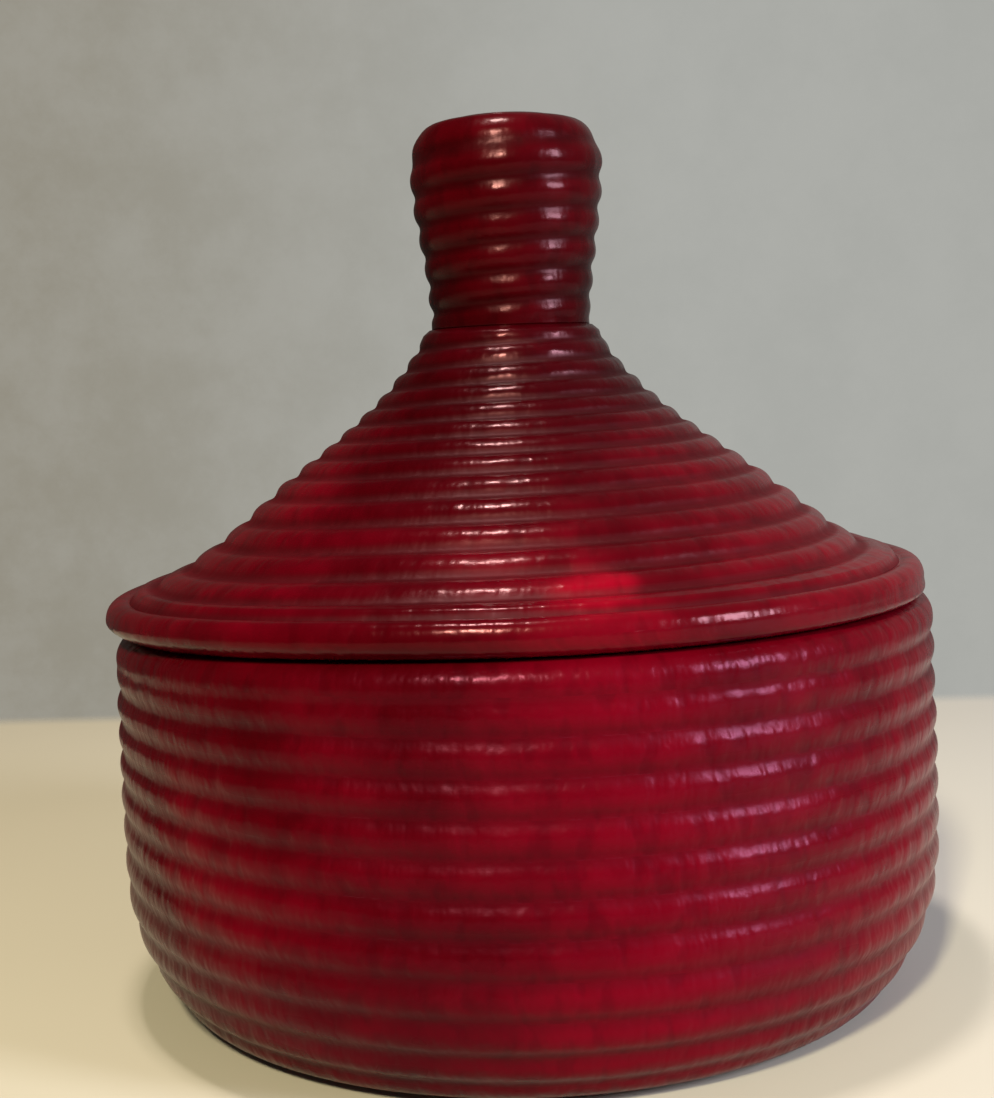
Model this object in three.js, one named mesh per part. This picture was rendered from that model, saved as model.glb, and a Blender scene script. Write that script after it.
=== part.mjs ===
// Covered basket of coiled wicker with a skin of moulded leather: a low drum and a conical lid with a tall knob.
// Millimetres, +Z up, origin at the middle of the underside.
import * as THREE from 'three';
import { mergeVertices } from 'three/addons/utils/BufferGeometryUtils.js';

// Outside sizes of the drum, over the leather
const FOOT_RADIUS = 80.6;
const BELLY_RADIUS = 90;
const MOUTH_RADIUS = 89.3;
const BELLY_HEIGHT = 36;
const FOOT_ROUNDNESS = 2.8;
const BODY_HEIGHT = 84.5;

// Outside sizes of the lid and its knob
const CONE_RISE = 52.7;
const NECK_SLOPE = 62.9;
const WAIST_RADIUS = 50;
const WAIST_RISE = 20.3;
const WAIST_SLOPE = 39.3;
const BRIM_SLOPE = 1.2;
const KNOB_FOOT_RADIUS = 17.4;
const KNOB_TOP_RADIUS = 20.6;
const KNOB_RISE = 32.8;
const KNOB_SHOULDER_RADIUS = 7.5;
const KNOB_SHOULDER_BEND = 42;
const KNOB_ELBOW_SLOPE = 60;
const EDGE_GROOVE_DEPTH = 1.4;

// Wicker strands and their spacing
const BODY_CANE = 6.6;
const LID_CANE = 5.8;
const CONE_CANE = 4.9;
const CONE_EVEN_ROWS = 6;
const CONE_ROW_WIDENING = 0.5;
const CONE_CANE_SHARE = 0.35;
const EDGE_CANE = 4.2;
const ROW_GAP = 0.6;
const STRAND_TIP = 2.2;
const FLOOR_EYE_RADIUS = 5;

// Leather and how far it is turned over
const LEATHER = 1;
const BODY_RIB_DEPTH = 1.1;
const LID_RIB_DEPTH = 0.7;
const FOOT_TURN_IN = 10;
const RIM_TURN_DOWN = 9;
const LID_TURN_UNDER = 4.5;
const KNOB_TURN_IN = 4;
const NECK_LAP = 1.9;
const RIB_CREST_HALF = 0.2;
const RIB_CREST_DROP = 0.12;
const RIB_FADE = 0.6;
const RIB_SHOULDER = 0.3;
const BASE_LEATHER = 1.2;
const BASE_INSET = 2;
const CAP_LEATHER = 1.2;
const CAP_INSET = 1.5;

// Clearances
const SKIN_FIT = 0.4;
const SEAM_GAP = 0.3;
const LID_SEAT_GAP = 0.3;
const LID_PLAY = 1;
const CORE_FIT = 0.4;

// Seat ring under the lid
const SEAT_RING_ROWS = 2;

// Where each strand begins, in turns round the axis
const BODY_START_TURN = -0.03;
const CONE_START_TURN = 0.35;
const KNOB_START_TURN = 0.25;

// Facets: the strands have one step for every two columns of the leather round them
const SKIN_COLUMNS = 30;
const KNOB_COLUMNS = 20;
const STRAND_SIDES = 5;
const HOOP_SIDES = 6;
const ARC_STEP = Math.PI / 6;
const EDGE_ROLL_LEAD = Math.PI / 5;
const DISC_BEVEL = 0.3;
const MERGE_DISTANCE = 2e-3;
const HALVINGS = 40;

const degrees = THREE.MathUtils.degToRad;

// Sizes that follow
const bodyPitch = BODY_CANE + ROW_GAP;
const lidPitch = LID_CANE + ROW_GAP;
const conePitch = CONE_CANE + ROW_GAP;
const elbowPitch = (LID_CANE + CONE_CANE) / 2 + ROW_GAP;
const bodySkin = BODY_CANE / 2 + SKIN_FIT + LEATHER;
const lidSkin = LID_CANE / 2 + SKIN_FIT + LEATHER;
const edgeSkin = EDGE_CANE / 2 + SKIN_FIT + LEATHER;
const footLevel = BASE_LEATHER + SEAM_GAP + bodySkin;
const rimLevel = BODY_HEIGHT - bodySkin;
const lidLevel = BODY_HEIGHT + LID_SEAT_GAP + edgeSkin;
const footLineRadius = FOOT_RADIUS - bodySkin;
const rimLineRadius = MOUTH_RADIUS - bodySkin;
const strandSteps = SKIN_COLUMNS / 2;
const rimFlat = facetSag(rimLineRadius);
const mouthInnerRadius = rimLineRadius - rimFlat - bodySkin;

// How far the straight facets of a strand cut inside its true circle
function facetSag(radius) {
  return radius * (1 - Math.cos(Math.PI / strandSteps));
}

const MATERIALS = {
  leather: { color: 0x6e0f1c, roughness: 0.35, metalness: 0 },
  leatherBase: { color: 0x4a0d14, roughness: 0.6, metalness: 0 },
  wicker: { color: 0xb08a52, roughness: 0.7, metalness: 0 },
  caneBundle: { color: 0x9a7846, roughness: 0.8, metalness: 0 },
};

// Middle line of the wall rows, as radius and height, from the foot up to the rim
class DrumLine extends THREE.Curve {
  getPoint(t) {
    const height = THREE.MathUtils.lerp(footLevel, rimLevel, t);
    const belly = BELLY_RADIUS - bodySkin;
    const below = Math.max(0, (BELLY_HEIGHT - height) / (BELLY_HEIGHT - footLevel));
    const above = Math.max(0, (height - BELLY_HEIGHT) / (rimLevel - BELLY_HEIGHT));
    const footDraw = (belly - footLineRadius) * below ** FOOT_ROUNDNESS;
    const mouthDraw = (belly - rimLineRadius) * above ** 2;
    return new THREE.Vector2(belly - footDraw - mouthDraw, height);
  }
}

// Middle line of the knob's side, from under its shoulder down to the foot
class KnobSide extends THREE.Curve {
  getPoint(t) {
    const swell = THREE.MathUtils.smoothstep(1 - t, 0, 1);
    const radius = THREE.MathUtils.lerp(KNOB_FOOT_RADIUS, KNOB_TOP_RADIUS, swell) - lidSkin;
    return new THREE.Vector2(radius, knobFootLevel + (1 - t) * KNOB_RISE);
  }
}

// Middle line of the knob rows, from the last row, drawn in over the top, down to the foot
function knobCurve() {
  const bend = degrees(KNOB_SHOULDER_BEND);
  const bendRadius = KNOB_TOP_RADIUS - lidSkin - KNOB_SHOULDER_RADIUS;
  const bendLevel = knobFootLevel + KNOB_RISE;
  const path = new THREE.CurvePath();
  path.add(new THREE.ArcCurve(bendRadius, bendLevel, KNOB_SHOULDER_RADIUS, bend, 0, true));
  path.add(new KnobSide());
  return path;
}

// Middle line of the cone rows, from the neck out to the edge of the lid
const elbow = degrees(KNOB_ELBOW_SLOPE);
const neckRadius = KNOB_FOOT_RADIUS - lidSkin + elbowPitch * Math.cos(elbow);
const neckLevel = lidLevel + CONE_RISE;
const knobFootLevel = neckLevel + elbowPitch * Math.sin(elbow);
const edgeLineRadius = MOUTH_RADIUS - edgeSkin;

// A curve between two points that falls at a given slope at each
function slopedCurve(from, fromSlope, to, toSlope) {
  const reach = from.distanceTo(to) / 3;
  const along = (slope) => new THREE.Vector2(Math.cos(degrees(slope)), -Math.sin(degrees(slope)));
  const after = from.clone().addScaledVector(along(fromSlope), reach);
  const before = to.clone().addScaledVector(along(toSlope), -reach);
  return new THREE.CubicBezierCurve(from, after, before, to);
}

function coneCurve() {
  const neck = new THREE.Vector2(neckRadius, neckLevel);
  const waist = new THREE.Vector2(WAIST_RADIUS, lidLevel + WAIST_RISE);
  const edge = new THREE.Vector2(edgeLineRadius, lidLevel);
  const path = new THREE.CurvePath();
  path.add(slopedCurve(neck, NECK_SLOPE, waist, WAIST_SLOPE));
  path.add(slopedCurve(waist, WAIST_SLOPE, edge, BRIM_SLOPE));
  return path;
}

// A line that rows follow, measured by its length, with the normal on its outer side.
// Past its ends it runs on straight.
class RowLine {
  constructor(curve, outerSide) {
    this.curve = curve;
    this.length = curve.getLength();
    this.outerSide = outerSide;
  }

  at(distance, offset = 0) {
    const inside = THREE.MathUtils.clamp(distance, 0, this.length);
    const point = this.curve.getPointAt(inside / this.length);
    const tangent = this.curve.getTangentAt(inside / this.length);
    point.addScaledVector(tangent, distance - inside);
    const normal = new THREE.Vector2(tangent.y, -tangent.x).multiplyScalar(this.outerSide);
    return point.addScaledVector(normal, offset);
  }

  normalAngle(distance) {
    const foot = this.at(distance);
    return this.at(distance, 1).sub(foot).angle();
  }
}

// Where rows lie along a line: even at first, and after a number of rows each wider than the last
class Spacing {
  constructor({ start, pitch, evenRows = Infinity, widening = 0 }) {
    this.start = start;
    this.firstPitch = pitch;
    this.evenRows = evenRows;
    this.widening = widening;
  }

  pitch(rows) {
    return this.firstPitch + this.widening * Math.max(0, rows - this.evenRows);
  }

  place(rows) {
    const wider = Math.max(0, rows - this.evenRows);
    return this.start + rows * this.firstPitch + this.widening * wider ** 2 / 2;
  }

  rows(place) {
    const evenly = (place - this.start) / this.firstPitch;
    if (evenly <= this.evenRows) return evenly;
    const past = (evenly - this.evenRows) * this.firstPitch;
    const root = Math.sqrt(this.firstPitch ** 2 + 2 * this.widening * past);
    return this.evenRows + (root - this.firstPitch) / this.widening;
  }
}

const drum = new RowLine(new DrumLine(), 1);
const cone = new RowLine(coneCurve(), -1);
const knob = new RowLine(knobCurve(), -1);

// All strands run clockwise, seen from above, as their turns grow
function around(radius, height, turn) {
  const angle = -2 * Math.PI * turn;
  return new THREE.Vector3(radius * Math.cos(angle), radius * Math.sin(angle), height);
}

// Closed solid from loose triangles: equal corners are merged and empty triangles left out
function solidFrom(corners) {
  const loose = new THREE.BufferGeometry();
  const numbers = corners.flatMap((corner) => [corner.x, corner.y, corner.z]);
  loose.setAttribute('position', new THREE.Float32BufferAttribute(numbers, 3));
  const merged = mergeVertices(loose, MERGE_DISTANCE);
  const index = merged.getIndex().array;
  const kept = [];
  for (let i = 0; i < index.length; i += 3) {
    const [a, b, c] = [index[i], index[i + 1], index[i + 2]];
    if (a !== b && b !== c && c !== a) kept.push(a, b, c);
  }
  merged.setIndex(kept);
  merged.computeVertexNormals();
  return merged;
}

// The same solid with its seam closed
function weld(geometry) {
  const position = geometry.getAttribute('position');
  const corner = (i) => new THREE.Vector3().fromBufferAttribute(position, i);
  return solidFrom(Array.from(geometry.getIndex().array, corner));
}

// Flat disc with bevelled edges
function disc(radius, underside, thickness, columns) {
  const profile = [
    [0, 0],
    [radius - DISC_BEVEL, 0],
    [radius, DISC_BEVEL],
    [radius, thickness - DISC_BEVEL],
    [radius - DISC_BEVEL, thickness],
    [0, thickness],
  ];
  const points = profile.map(([x, y]) => new THREE.Vector2(x, y + underside));
  const lathe = new THREE.LatheGeometry(points, columns);
  lathe.rotateX(Math.PI / 2);
  return weld(lathe);
}

// Leather shell: a closed run of rows, each a function of the turn that gives radius and height
function sweep(rows, columns) {
  const grid = rows.map((row) => {
    const ring = [];
    for (let column = 0; column <= columns; column += 1) {
      const turn = column / columns;
      const point = row(turn);
      ring.push(around(point.x, point.y, turn % 1));
    }
    return ring;
  });
  const corners = [];
  grid.forEach((ring, i) => {
    const next = grid[(i + 1) % grid.length];
    for (let column = 0; column < columns; column += 1) {
      corners.push(ring[column], next[column], next[column + 1]);
      corners.push(ring[column], next[column + 1], ring[column + 1]);
    }
  });
  return solidFrom(corners);
}

// An angle brought between minus a half turn and a half turn
function wrapped(angle) {
  return Math.atan2(Math.sin(angle), Math.cos(angle));
}

const level = (point) => () => point;

// Arc of level rows round a row's middle. A flat at the top moves the half on the axis side inwards.
function arcRows(centre, radius, fromAngle, toAngle, flat = 0) {
  const count = Math.max(2, Math.round(Math.abs(toAngle - fromAngle) / ARC_STEP));
  const rows = [];
  for (let i = 0; i <= count; i += 1) {
    const angle = THREE.MathUtils.lerp(fromAngle, toAngle, i / count);
    const inwards = angle > Math.PI / 2 ? flat : 0;
    const reach = new THREE.Vector2(radius * Math.cos(angle) - inwards, radius * Math.sin(angle));
    rows.push(level(reach.add(centre)));
  }
  return rows;
}

// Rows of ribbed leather that wind with the strand under them. Each phase is a place within one
// pitch, counted from the crest, with the share of the rib's depth that it lies below the crest.
// The ribs fade out where they reach a level end.
const OUTER_PHASES = [[-RIB_CREST_HALF, RIB_CREST_DROP], [RIB_CREST_HALF, RIB_CREST_DROP], [0.5, 1]];
const INNER_PHASES = [[0, 0], [0.5, 1]];

function ribbedRows({ line, from, to, spacing, startTurn, skin, inset, depth, phases }) {
  const rows = [];
  const fade = spacing.firstPitch * RIB_FADE;
  const first = Math.floor(spacing.rows(from)) - 2;
  const last = Math.ceil(spacing.rows(to)) + 2;
  for (let row = first; row <= last; row += 1) {
    for (const [phase, share] of phases) {
      rows.push((turn) => {
        const place = spacing.place(row + phase + turn - startTurn);
        const clamped = THREE.MathUtils.clamp(place, from, to);
        const fadeIn = THREE.MathUtils.smoothstep(clamped - from, 0, fade);
        const fadeOut = THREE.MathUtils.smoothstep(to - clamped, 0, fade);
        return line.at(clamped, skin(clamped) - inset - depth * share * fadeIn * fadeOut);
      });
    }
  }
  return rows;
}

// Tapered tube through a list of middles and radii, with pointed ends
function tube(stations, sides, outward) {
  const rings = stations.map(({ middle, radius }, i) => {
    const before = stations[Math.max(0, i - 1)].middle;
    const after = stations[Math.min(stations.length - 1, i + 1)].middle;
    const forward = after.clone().sub(before).normalize();
    const up = outward(middle, i);
    up.addScaledVector(forward, -up.dot(forward)).normalize();
    const across = forward.clone().cross(up);
    const ring = [];
    for (let side = 0; side < sides; side += 1) {
      const angle = 2 * Math.PI * side / sides;
      const reach = up.clone().multiplyScalar(radius * Math.cos(angle));
      reach.addScaledVector(across, radius * Math.sin(angle));
      ring.push(reach.add(middle));
    }
    return ring;
  });
  const corners = [];
  for (let i = 0; i + 1 < rings.length; i += 1) {
    for (let side = 0; side < sides; side += 1) {
      const next = (side + 1) % sides;
      corners.push(rings[i][side], rings[i][next], rings[i + 1][next]);
      corners.push(rings[i][side], rings[i + 1][next], rings[i + 1][side]);
    }
  }
  const tail = rings.length - 1;
  for (let side = 1; side + 1 < sides; side += 1) {
    corners.push(rings[0][0], rings[0][side + 1], rings[0][side]);
    corners.push(rings[tail][0], rings[tail][side], rings[tail][side + 1]);
  }
  return solidFrom(corners);
}

// Strand wound along a line between two level limits. Where a row would pass a limit it is pared
// down to a wedge, as the maker pares the strand's end to bring the work level.
function woundStations({ line, from, to, cane, spacing, startTurn, steps }) {
  const stations = [];
  const firstTurn = startTurn + spacing.rows(from - cane(from) + STRAND_TIP);
  const lastTurn = startTurn + spacing.rows(to + cane(to) - STRAND_TIP);
  const firstStep = Math.ceil(firstTurn * steps);
  const lastStep = Math.floor(lastTurn * steps);
  for (let step = firstStep; step <= lastStep; step += 1) {
    const turn = step / steps;
    const place = spacing.place(turn - startTurn);
    const low = Math.max(place - cane(place) / 2, from - cane(from) / 2);
    const high = Math.min(place + cane(place) / 2, to + cane(to) / 2);
    const middlePlace = (low + high) / 2;
    const foot = line.at(middlePlace);
    const middle = around(foot.x, foot.y, turn);
    stations.push({ middle, radius: (high - low) / 2, place: middlePlace, turn });
  }
  return stations;
}

function outwardOn(line, stations) {
  return (middle, i) => {
    const { place, turn } = stations[i];
    const foot = line.at(place);
    const tip = line.at(place, 1);
    return around(tip.x, tip.y, turn).sub(around(foot.x, foot.y, turn));
  };
}

// Least gap between one turn of a strand and the next, measured between its stations
function leastGap(stations, steps) {
  let least = Infinity;
  const halfTurn = Math.floor(steps / 2);
  for (let i = 0; i < stations.length; i += 1) {
    for (let j = i + halfTurn; j < Math.min(stations.length, i + 2 * steps); j += 1) {
      const apart = stations[i].middle.distanceTo(stations[j].middle);
      least = Math.min(least, apart - stations[i].radius - stations[j].radius);
    }
  }
  return least;
}

function woundStrand(name, options) {
  const stations = woundStations(options);
  console.log(`${name}: least gap to itself ${leastGap(stations, options.steps).toFixed(2)} mm`);
  return tube(stations, STRAND_SIDES, outwardOn(options.line, stations));
}

// Drum

const drumWinding = {
  line: drum,
  from: 0,
  to: drum.length,
  cane: () => BODY_CANE,
  spacing: new Spacing({ start: drum.length, pitch: bodyPitch }),
  startTurn: BODY_START_TURN,
};

function baseLeather() {
  return disc(footLineRadius - BASE_INSET, 0, BASE_LEATHER, SKIN_COLUMNS);
}

// The outer side of the floor rows is underneath, where they rest on the leather turned in
function floorCoil() {
  const edge = footLineRadius - BODY_CANE / 2 - ROW_GAP;
  const centre = new THREE.Vector2(0, footLevel);
  const across = new THREE.LineCurve(centre, new THREE.Vector2(edge, footLevel));
  return woundStrand('floor_coil', {
    line: new RowLine(across, 1),
    from: FLOOR_EYE_RADIUS,
    to: edge - BODY_CANE / 2,
    cane: () => BODY_CANE,
    spacing: new Spacing({ start: FLOOR_EYE_RADIUS, pitch: bodyPitch }),
    startTurn: 0,
    steps: strandSteps,
  });
}

function wallCoil() {
  return woundStrand('wall_coil', { ...drumWinding, steps: strandSteps });
}

function bodyCover() {
  const foot = drum.at(0);
  const rim = drum.at(drum.length);
  const ribs = { ...drumWinding, depth: BODY_RIB_DEPTH, skin: () => bodySkin };
  const face = (inset, phases) => [
    level(new THREE.Vector2(foot.x - FOOT_TURN_IN, foot.y - bodySkin + inset)),
    ...arcRows(foot, bodySkin - inset, -Math.PI / 2, wrapped(drum.normalAngle(0))),
    ...ribbedRows({ ...ribs, inset, phases }),
    ...arcRows(rim, bodySkin - inset, wrapped(drum.normalAngle(drum.length)), Math.PI, rimFlat),
    level(new THREE.Vector2(mouthInnerRadius + inset, rim.y - RIM_TURN_DOWN)),
  ];
  return sweep([...face(0, OUTER_PHASES), ...face(LEATHER, INNER_PHASES).reverse()], SKIN_COLUMNS);
}

// Lid

// The level groove between the last cone row and the edge hoop, and where the winding ribs stop
const coneSpacing = new Spacing({
  start: 0,
  pitch: conePitch,
  evenRows: CONE_EVEN_ROWS,
  widening: CONE_ROW_WIDENING,
});
const edgeGroove = cone.length - EDGE_CANE / 2 - ROW_GAP / 2;
const coneStrandEnd = edgeGroove - ROW_GAP / 2 - coneCane(edgeGroove) / 2;
const edgeRibs = edgeGroove - coneSpacing.pitch(coneSpacing.rows(edgeGroove)) * RIB_SHOULDER;
const neckRibs = conePitch * RIB_SHOULDER - NECK_LAP;

// The cone's strand grows thicker where its rows are wider
function coneCane(place) {
  const widened = coneSpacing.pitch(coneSpacing.rows(place)) - conePitch;
  return CONE_CANE + CONE_CANE_SHARE * widened;
}

function coneSkin(place) {
  return coneCane(place) / 2 + SKIN_FIT + LEATHER;
}

const coneWinding = {
  line: cone,
  from: 0,
  to: coneStrandEnd,
  cane: coneCane,
  spacing: coneSpacing,
  startTurn: CONE_START_TURN,
};

function lidCoil() {
  return woundStrand('lid_coil', { ...coneWinding, steps: strandSteps });
}

function lidEdgeHoop() {
  const ring = new THREE.TorusGeometry(edgeLineRadius, EDGE_CANE / 2, HOOP_SIDES, SKIN_COLUMNS);
  ring.translate(0, 0, lidLevel);
  return weld(ring);
}

// Height of the underside of the cone's rows over a given radius
function coneUndersideOver(radius) {
  let inner = 0;
  let outer = cone.length;
  for (let i = 0; i < HALVINGS; i += 1) {
    const middle = (inner + outer) / 2;
    if (cone.at(middle).x < radius) inner = middle;
    else outer = middle;
  }
  return cone.at(inner).y - coneCane(inner) / 2;
}

function lidSeatRing() {
  const outside = mouthInnerRadius - LID_PLAY;
  const radius = outside - LID_CANE / 2;
  const topRow = coneUndersideOver(outside) - SEAM_GAP - LID_CANE / 2;
  const bottomRow = topRow - (SEAT_RING_ROWS - 1) * lidPitch;
  const topPoint = new THREE.Vector2(radius, topRow);
  const side = new THREE.LineCurve(topPoint, new THREE.Vector2(radius, bottomRow));
  const line = new RowLine(side, -1);
  return woundStrand('lid_seat_ring', {
    line,
    from: 0,
    to: line.length,
    cane: () => LID_CANE,
    spacing: new Spacing({ start: 0, pitch: lidPitch }),
    startTurn: CONE_START_TURN,
    steps: strandSteps,
  });
}

const neckLapSkin = coneSkin(0) - LID_RIB_DEPTH;

function lidCover() {
  const ribs = { ...coneWinding, from: neckRibs, to: edgeRibs, depth: LID_RIB_DEPTH, skin: coneSkin };
  const edge = cone.at(cone.length);
  const rollStart = wrapped(cone.normalAngle(cone.length)) + EDGE_ROLL_LEAD;
  const face = (inset, phases) => [
    level(cone.at(-NECK_LAP, neckLapSkin - inset)),
    ...ribbedRows({ ...ribs, inset, phases }),
    level(cone.at(edgeGroove, edgeSkin - EDGE_GROOVE_DEPTH - inset)),
    ...arcRows(edge, edgeSkin - inset, rollStart, -Math.PI / 2),
    level(new THREE.Vector2(edge.x - LID_TURN_UNDER, edge.y - edgeSkin + inset)),
  ];
  return sweep([...face(LEATHER, INNER_PHASES), ...face(0, OUTER_PHASES).reverse()], SKIN_COLUMNS);
}

// Knob

const sleeveFoot = cone.at(-NECK_LAP, neckLapSkin).y + SEAM_GAP;
const sleeveTop = knob.at(0).y + lidSkin;
const capUnderside = sleeveTop + SEAM_GAP;
const knobSpacing = new Spacing({ start: knob.length, pitch: lidPitch });

function knobCoil() {
  return woundStrand('knob_coil', {
    line: knob,
    from: 0,
    to: knob.length,
    cane: () => LID_CANE,
    spacing: knobSpacing,
    startTurn: KNOB_START_TURN,
    steps: KNOB_COLUMNS / 2,
  });
}

function knobCover() {
  const top = knob.at(0);
  const foot = knob.length + knobFootLevel - sleeveFoot;
  const ribs = {
    line: knob,
    from: 0,
    to: foot,
    spacing: knobSpacing,
    startTurn: KNOB_START_TURN,
    skin: () => lidSkin,
    depth: LID_RIB_DEPTH,
  };
  const face = (inset, phases) => [
    level(new THREE.Vector2(top.x - KNOB_TURN_IN, sleeveTop - inset)),
    ...arcRows(top, lidSkin - inset, Math.PI / 2, wrapped(knob.normalAngle(0))),
    ...ribbedRows({ ...ribs, inset, phases }),
  ];
  return sweep([...face(LEATHER, INNER_PHASES), ...face(0, OUTER_PHASES).reverse()], KNOB_COLUMNS);
}

function knobCore() {
  const radius = KNOB_FOOT_RADIUS - lidSkin - LID_CANE / 2 - CORE_FIT;
  const underside = neckLevel - CONE_CANE / 2;
  return disc(radius, underside, capUnderside - SEAM_GAP - underside, KNOB_COLUMNS);
}

function knobCap() {
  return disc(knob.at(0).x - CAP_INSET, capUnderside, CAP_LEATHER, KNOB_COLUMNS);
}

// Assembly

function add(group, name, geometry, finish) {
  const mesh = new THREE.Mesh(geometry, new THREE.MeshStandardMaterial(finish));
  mesh.name = name;
  group.add(mesh);
}

const basket = new THREE.Group();
const body = new THREE.Group();
const lid = new THREE.Group();
basket.add(body, lid);

add(body, 'base_leather', baseLeather(), MATERIALS.leatherBase);
add(body, 'floor_coil', floorCoil(), MATERIALS.wicker);
add(body, 'wall_coil', wallCoil(), MATERIALS.wicker);
add(body, 'body_cover', bodyCover(), MATERIALS.leather);
add(lid, 'lid_coil', lidCoil(), MATERIALS.wicker);
add(lid, 'lid_edge_hoop', lidEdgeHoop(), MATERIALS.wicker);
add(lid, 'lid_seat_ring', lidSeatRing(), MATERIALS.wicker);
add(lid, 'lid_cover', lidCover(), MATERIALS.leather);
add(lid, 'knob_core', knobCore(), MATERIALS.caneBundle);
add(lid, 'knob_coil', knobCoil(), MATERIALS.wicker);
add(lid, 'knob_cover', knobCover(), MATERIALS.leather);
add(lid, 'knob_cap', knobCap(), MATERIALS.leather);

export default basket;
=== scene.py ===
"""Coiled wicker basket under moulded red leather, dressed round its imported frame.

Sizes are in millimetres as in the part's source, and meshes are made in metres. +Z is up, the
basket stands on the floor at height zero, and the photograph is taken from the -Y side.
"""

import logging
import math
from dataclasses import dataclass, field
from enum import Enum
from typing import Callable, Sequence, Union

import bpy
import numpy as np
from mathutils import Matrix, Vector


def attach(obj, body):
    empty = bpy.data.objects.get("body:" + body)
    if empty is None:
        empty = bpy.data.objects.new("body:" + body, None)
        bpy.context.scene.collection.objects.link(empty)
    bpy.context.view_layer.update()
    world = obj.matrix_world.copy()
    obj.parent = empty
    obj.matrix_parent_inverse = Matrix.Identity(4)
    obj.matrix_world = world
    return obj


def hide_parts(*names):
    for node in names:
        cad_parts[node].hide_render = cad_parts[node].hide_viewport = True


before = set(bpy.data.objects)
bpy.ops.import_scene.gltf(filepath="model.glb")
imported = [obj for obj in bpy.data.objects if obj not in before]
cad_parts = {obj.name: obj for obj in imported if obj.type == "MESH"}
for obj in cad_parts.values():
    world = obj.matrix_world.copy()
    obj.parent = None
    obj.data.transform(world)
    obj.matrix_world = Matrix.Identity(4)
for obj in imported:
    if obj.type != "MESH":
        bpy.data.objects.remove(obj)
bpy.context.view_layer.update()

log = logging.getLogger("basket")

Pair = tuple[float, float]
Triple = tuple[float, float, float]
Colour = Triple
Socket = bpy.types.NodeSocket
Value = Union[Socket, float, Colour]

MM = 0.001
TURN = 2 * math.pi
PATTERN_MAP = "winding"
HOLLOW = "hollow"

# Outside sizes over the leather that more than one piece needs
BELLY_RADIUS = 90.0
MOUTH_RADIUS = 89.3
BODY_HEIGHT = 84.5
CONE_RISE = 52.7
KNOB_FOOT_RADIUS = 17.4
KNOB_TOP_RADIUS = 20.6
KNOB_ELBOW_SLOPE = 60.0

# Wicker strands
BODY_CANE = 6.6
LID_CANE = 5.8
CONE_CANE = 4.9
EDGE_CANE = 4.2
ROW_GAP = 0.6
STRAND_TIP = 2.2

# Leather: its lap at the neck, the fade of its ribs in rows, and where a hem's flat starts
LEATHER = 1.0
SOLE_LEATHER = 1.2
NECK_LAP = 1.9
RIB_FADE = 0.6
HEM_START = 0.3

# Clearances
SKIN_FIT = 0.4
SEAM_GAP = 0.3
CLOSE_FIT = SEAM_GAP / 6
LID_SEAT_GAP = 0.3

# Sizes that follow
BODY_PITCH = BODY_CANE + ROW_GAP
LID_PITCH = LID_CANE + ROW_GAP
CONE_PITCH = CONE_CANE + ROW_GAP
ELBOW_PITCH = (LID_CANE + CONE_CANE) / 2 + ROW_GAP
BODY_SKIN = BODY_CANE / 2 + SKIN_FIT + LEATHER
LID_SKIN = LID_CANE / 2 + SKIN_FIT + LEATHER
EDGE_SKIN = EDGE_CANE / 2 + SKIN_FIT + LEATHER
LID_LEVEL = BODY_HEIGHT + LID_SEAT_GAP + EDGE_SKIN
NECK_LEVEL = LID_LEVEL + CONE_RISE
KNOB_FOOT_LEVEL = NECK_LEVEL + ELBOW_PITCH * math.sin(math.radians(KNOB_ELBOW_SLOPE))
NECK_RADIUS = KNOB_FOOT_RADIUS - LID_SKIN + ELBOW_PITCH * math.cos(math.radians(KNOB_ELBOW_SLOPE))

# Turn at which the strands of the cone and the seat ring begin
CONE_START_TURN = 0.35

# How far the rim and brim have sunk on the left, how far out that starts, and above what height
SETTLING = 3.2
SETTLES_FROM = 12.0
SETTLES_ABOVE = 45.0

# How far the brim leans to the left, how much fuller the cone above it and the knob are, and
# the heights between which each of these comes and goes
BRIM_LEAN = 1.7
BRIM_LEAN_ZONE = (84.6, 88.0, 90.0, 104.0)
BRIM_FULLNESS = 1.1
BRIM_FULL_ZONE = (89.0, 95.0, 98.0, 125.0)
KNOB_FULLNESS = 0.5
KNOB_FULL_FROM = NECK_LEVEL + 3.0
KNOB_FULL_AT = NECK_LEVEL + 10.0

# The leather's lap seams are at the back, a quarter turn anticlockwise of +X. The upper flap
# rises over its edge, and is pared down to nothing at its full width
BACK_TURN = 0.75
FLAP_EDGE = 0.8
FLAP_WIDTH = 9.0
FLAP_PARING = 6.0

# Hand-made unevenness of the ribs' height, of their place in rows, and of a strand's thickness
CREST_WANDER = 0.12
PHASE_WANDER = 0.05
PHASE_SEED = 0.37
STRAND_WANDER = 0.02
STRAND_SEED = 0.2
WRAP_MEAN = 0.6

# Mesh fineness. The extra columns near the seam are shares of an even column's width
LINE_SAMPLES = 1500
STRAIGHT_SAMPLES = 50
ROWS_PER_RIB = 14
LINING_ROWS_PER_RIB = 4
FINE_STEPS_PER_TURN = 240
DOUBLED_WITHIN = 0.02
ARC_STEP = math.radians(9)
LEAST_ARC_STATIONS = 4
HEM_STATIONS = 6
PROFILE_STATIONS = 40
COLUMNS_PAST_SEAM = (0.08, 0.16, 0.24, 0.32, 0.4, 0.5, 0.62, 0.8)
COLUMNS_BEFORE_SEAM = COLUMNS_PAST_SEAM[:6]

# A stitch is a spindle with this many rings and sides, and two faces close each end
STITCH_RINGS = 7
STITCH_SIDES = 6
STITCH_END = ((0, 1, 2, 3), (0, 3, 4, 5))

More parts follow.
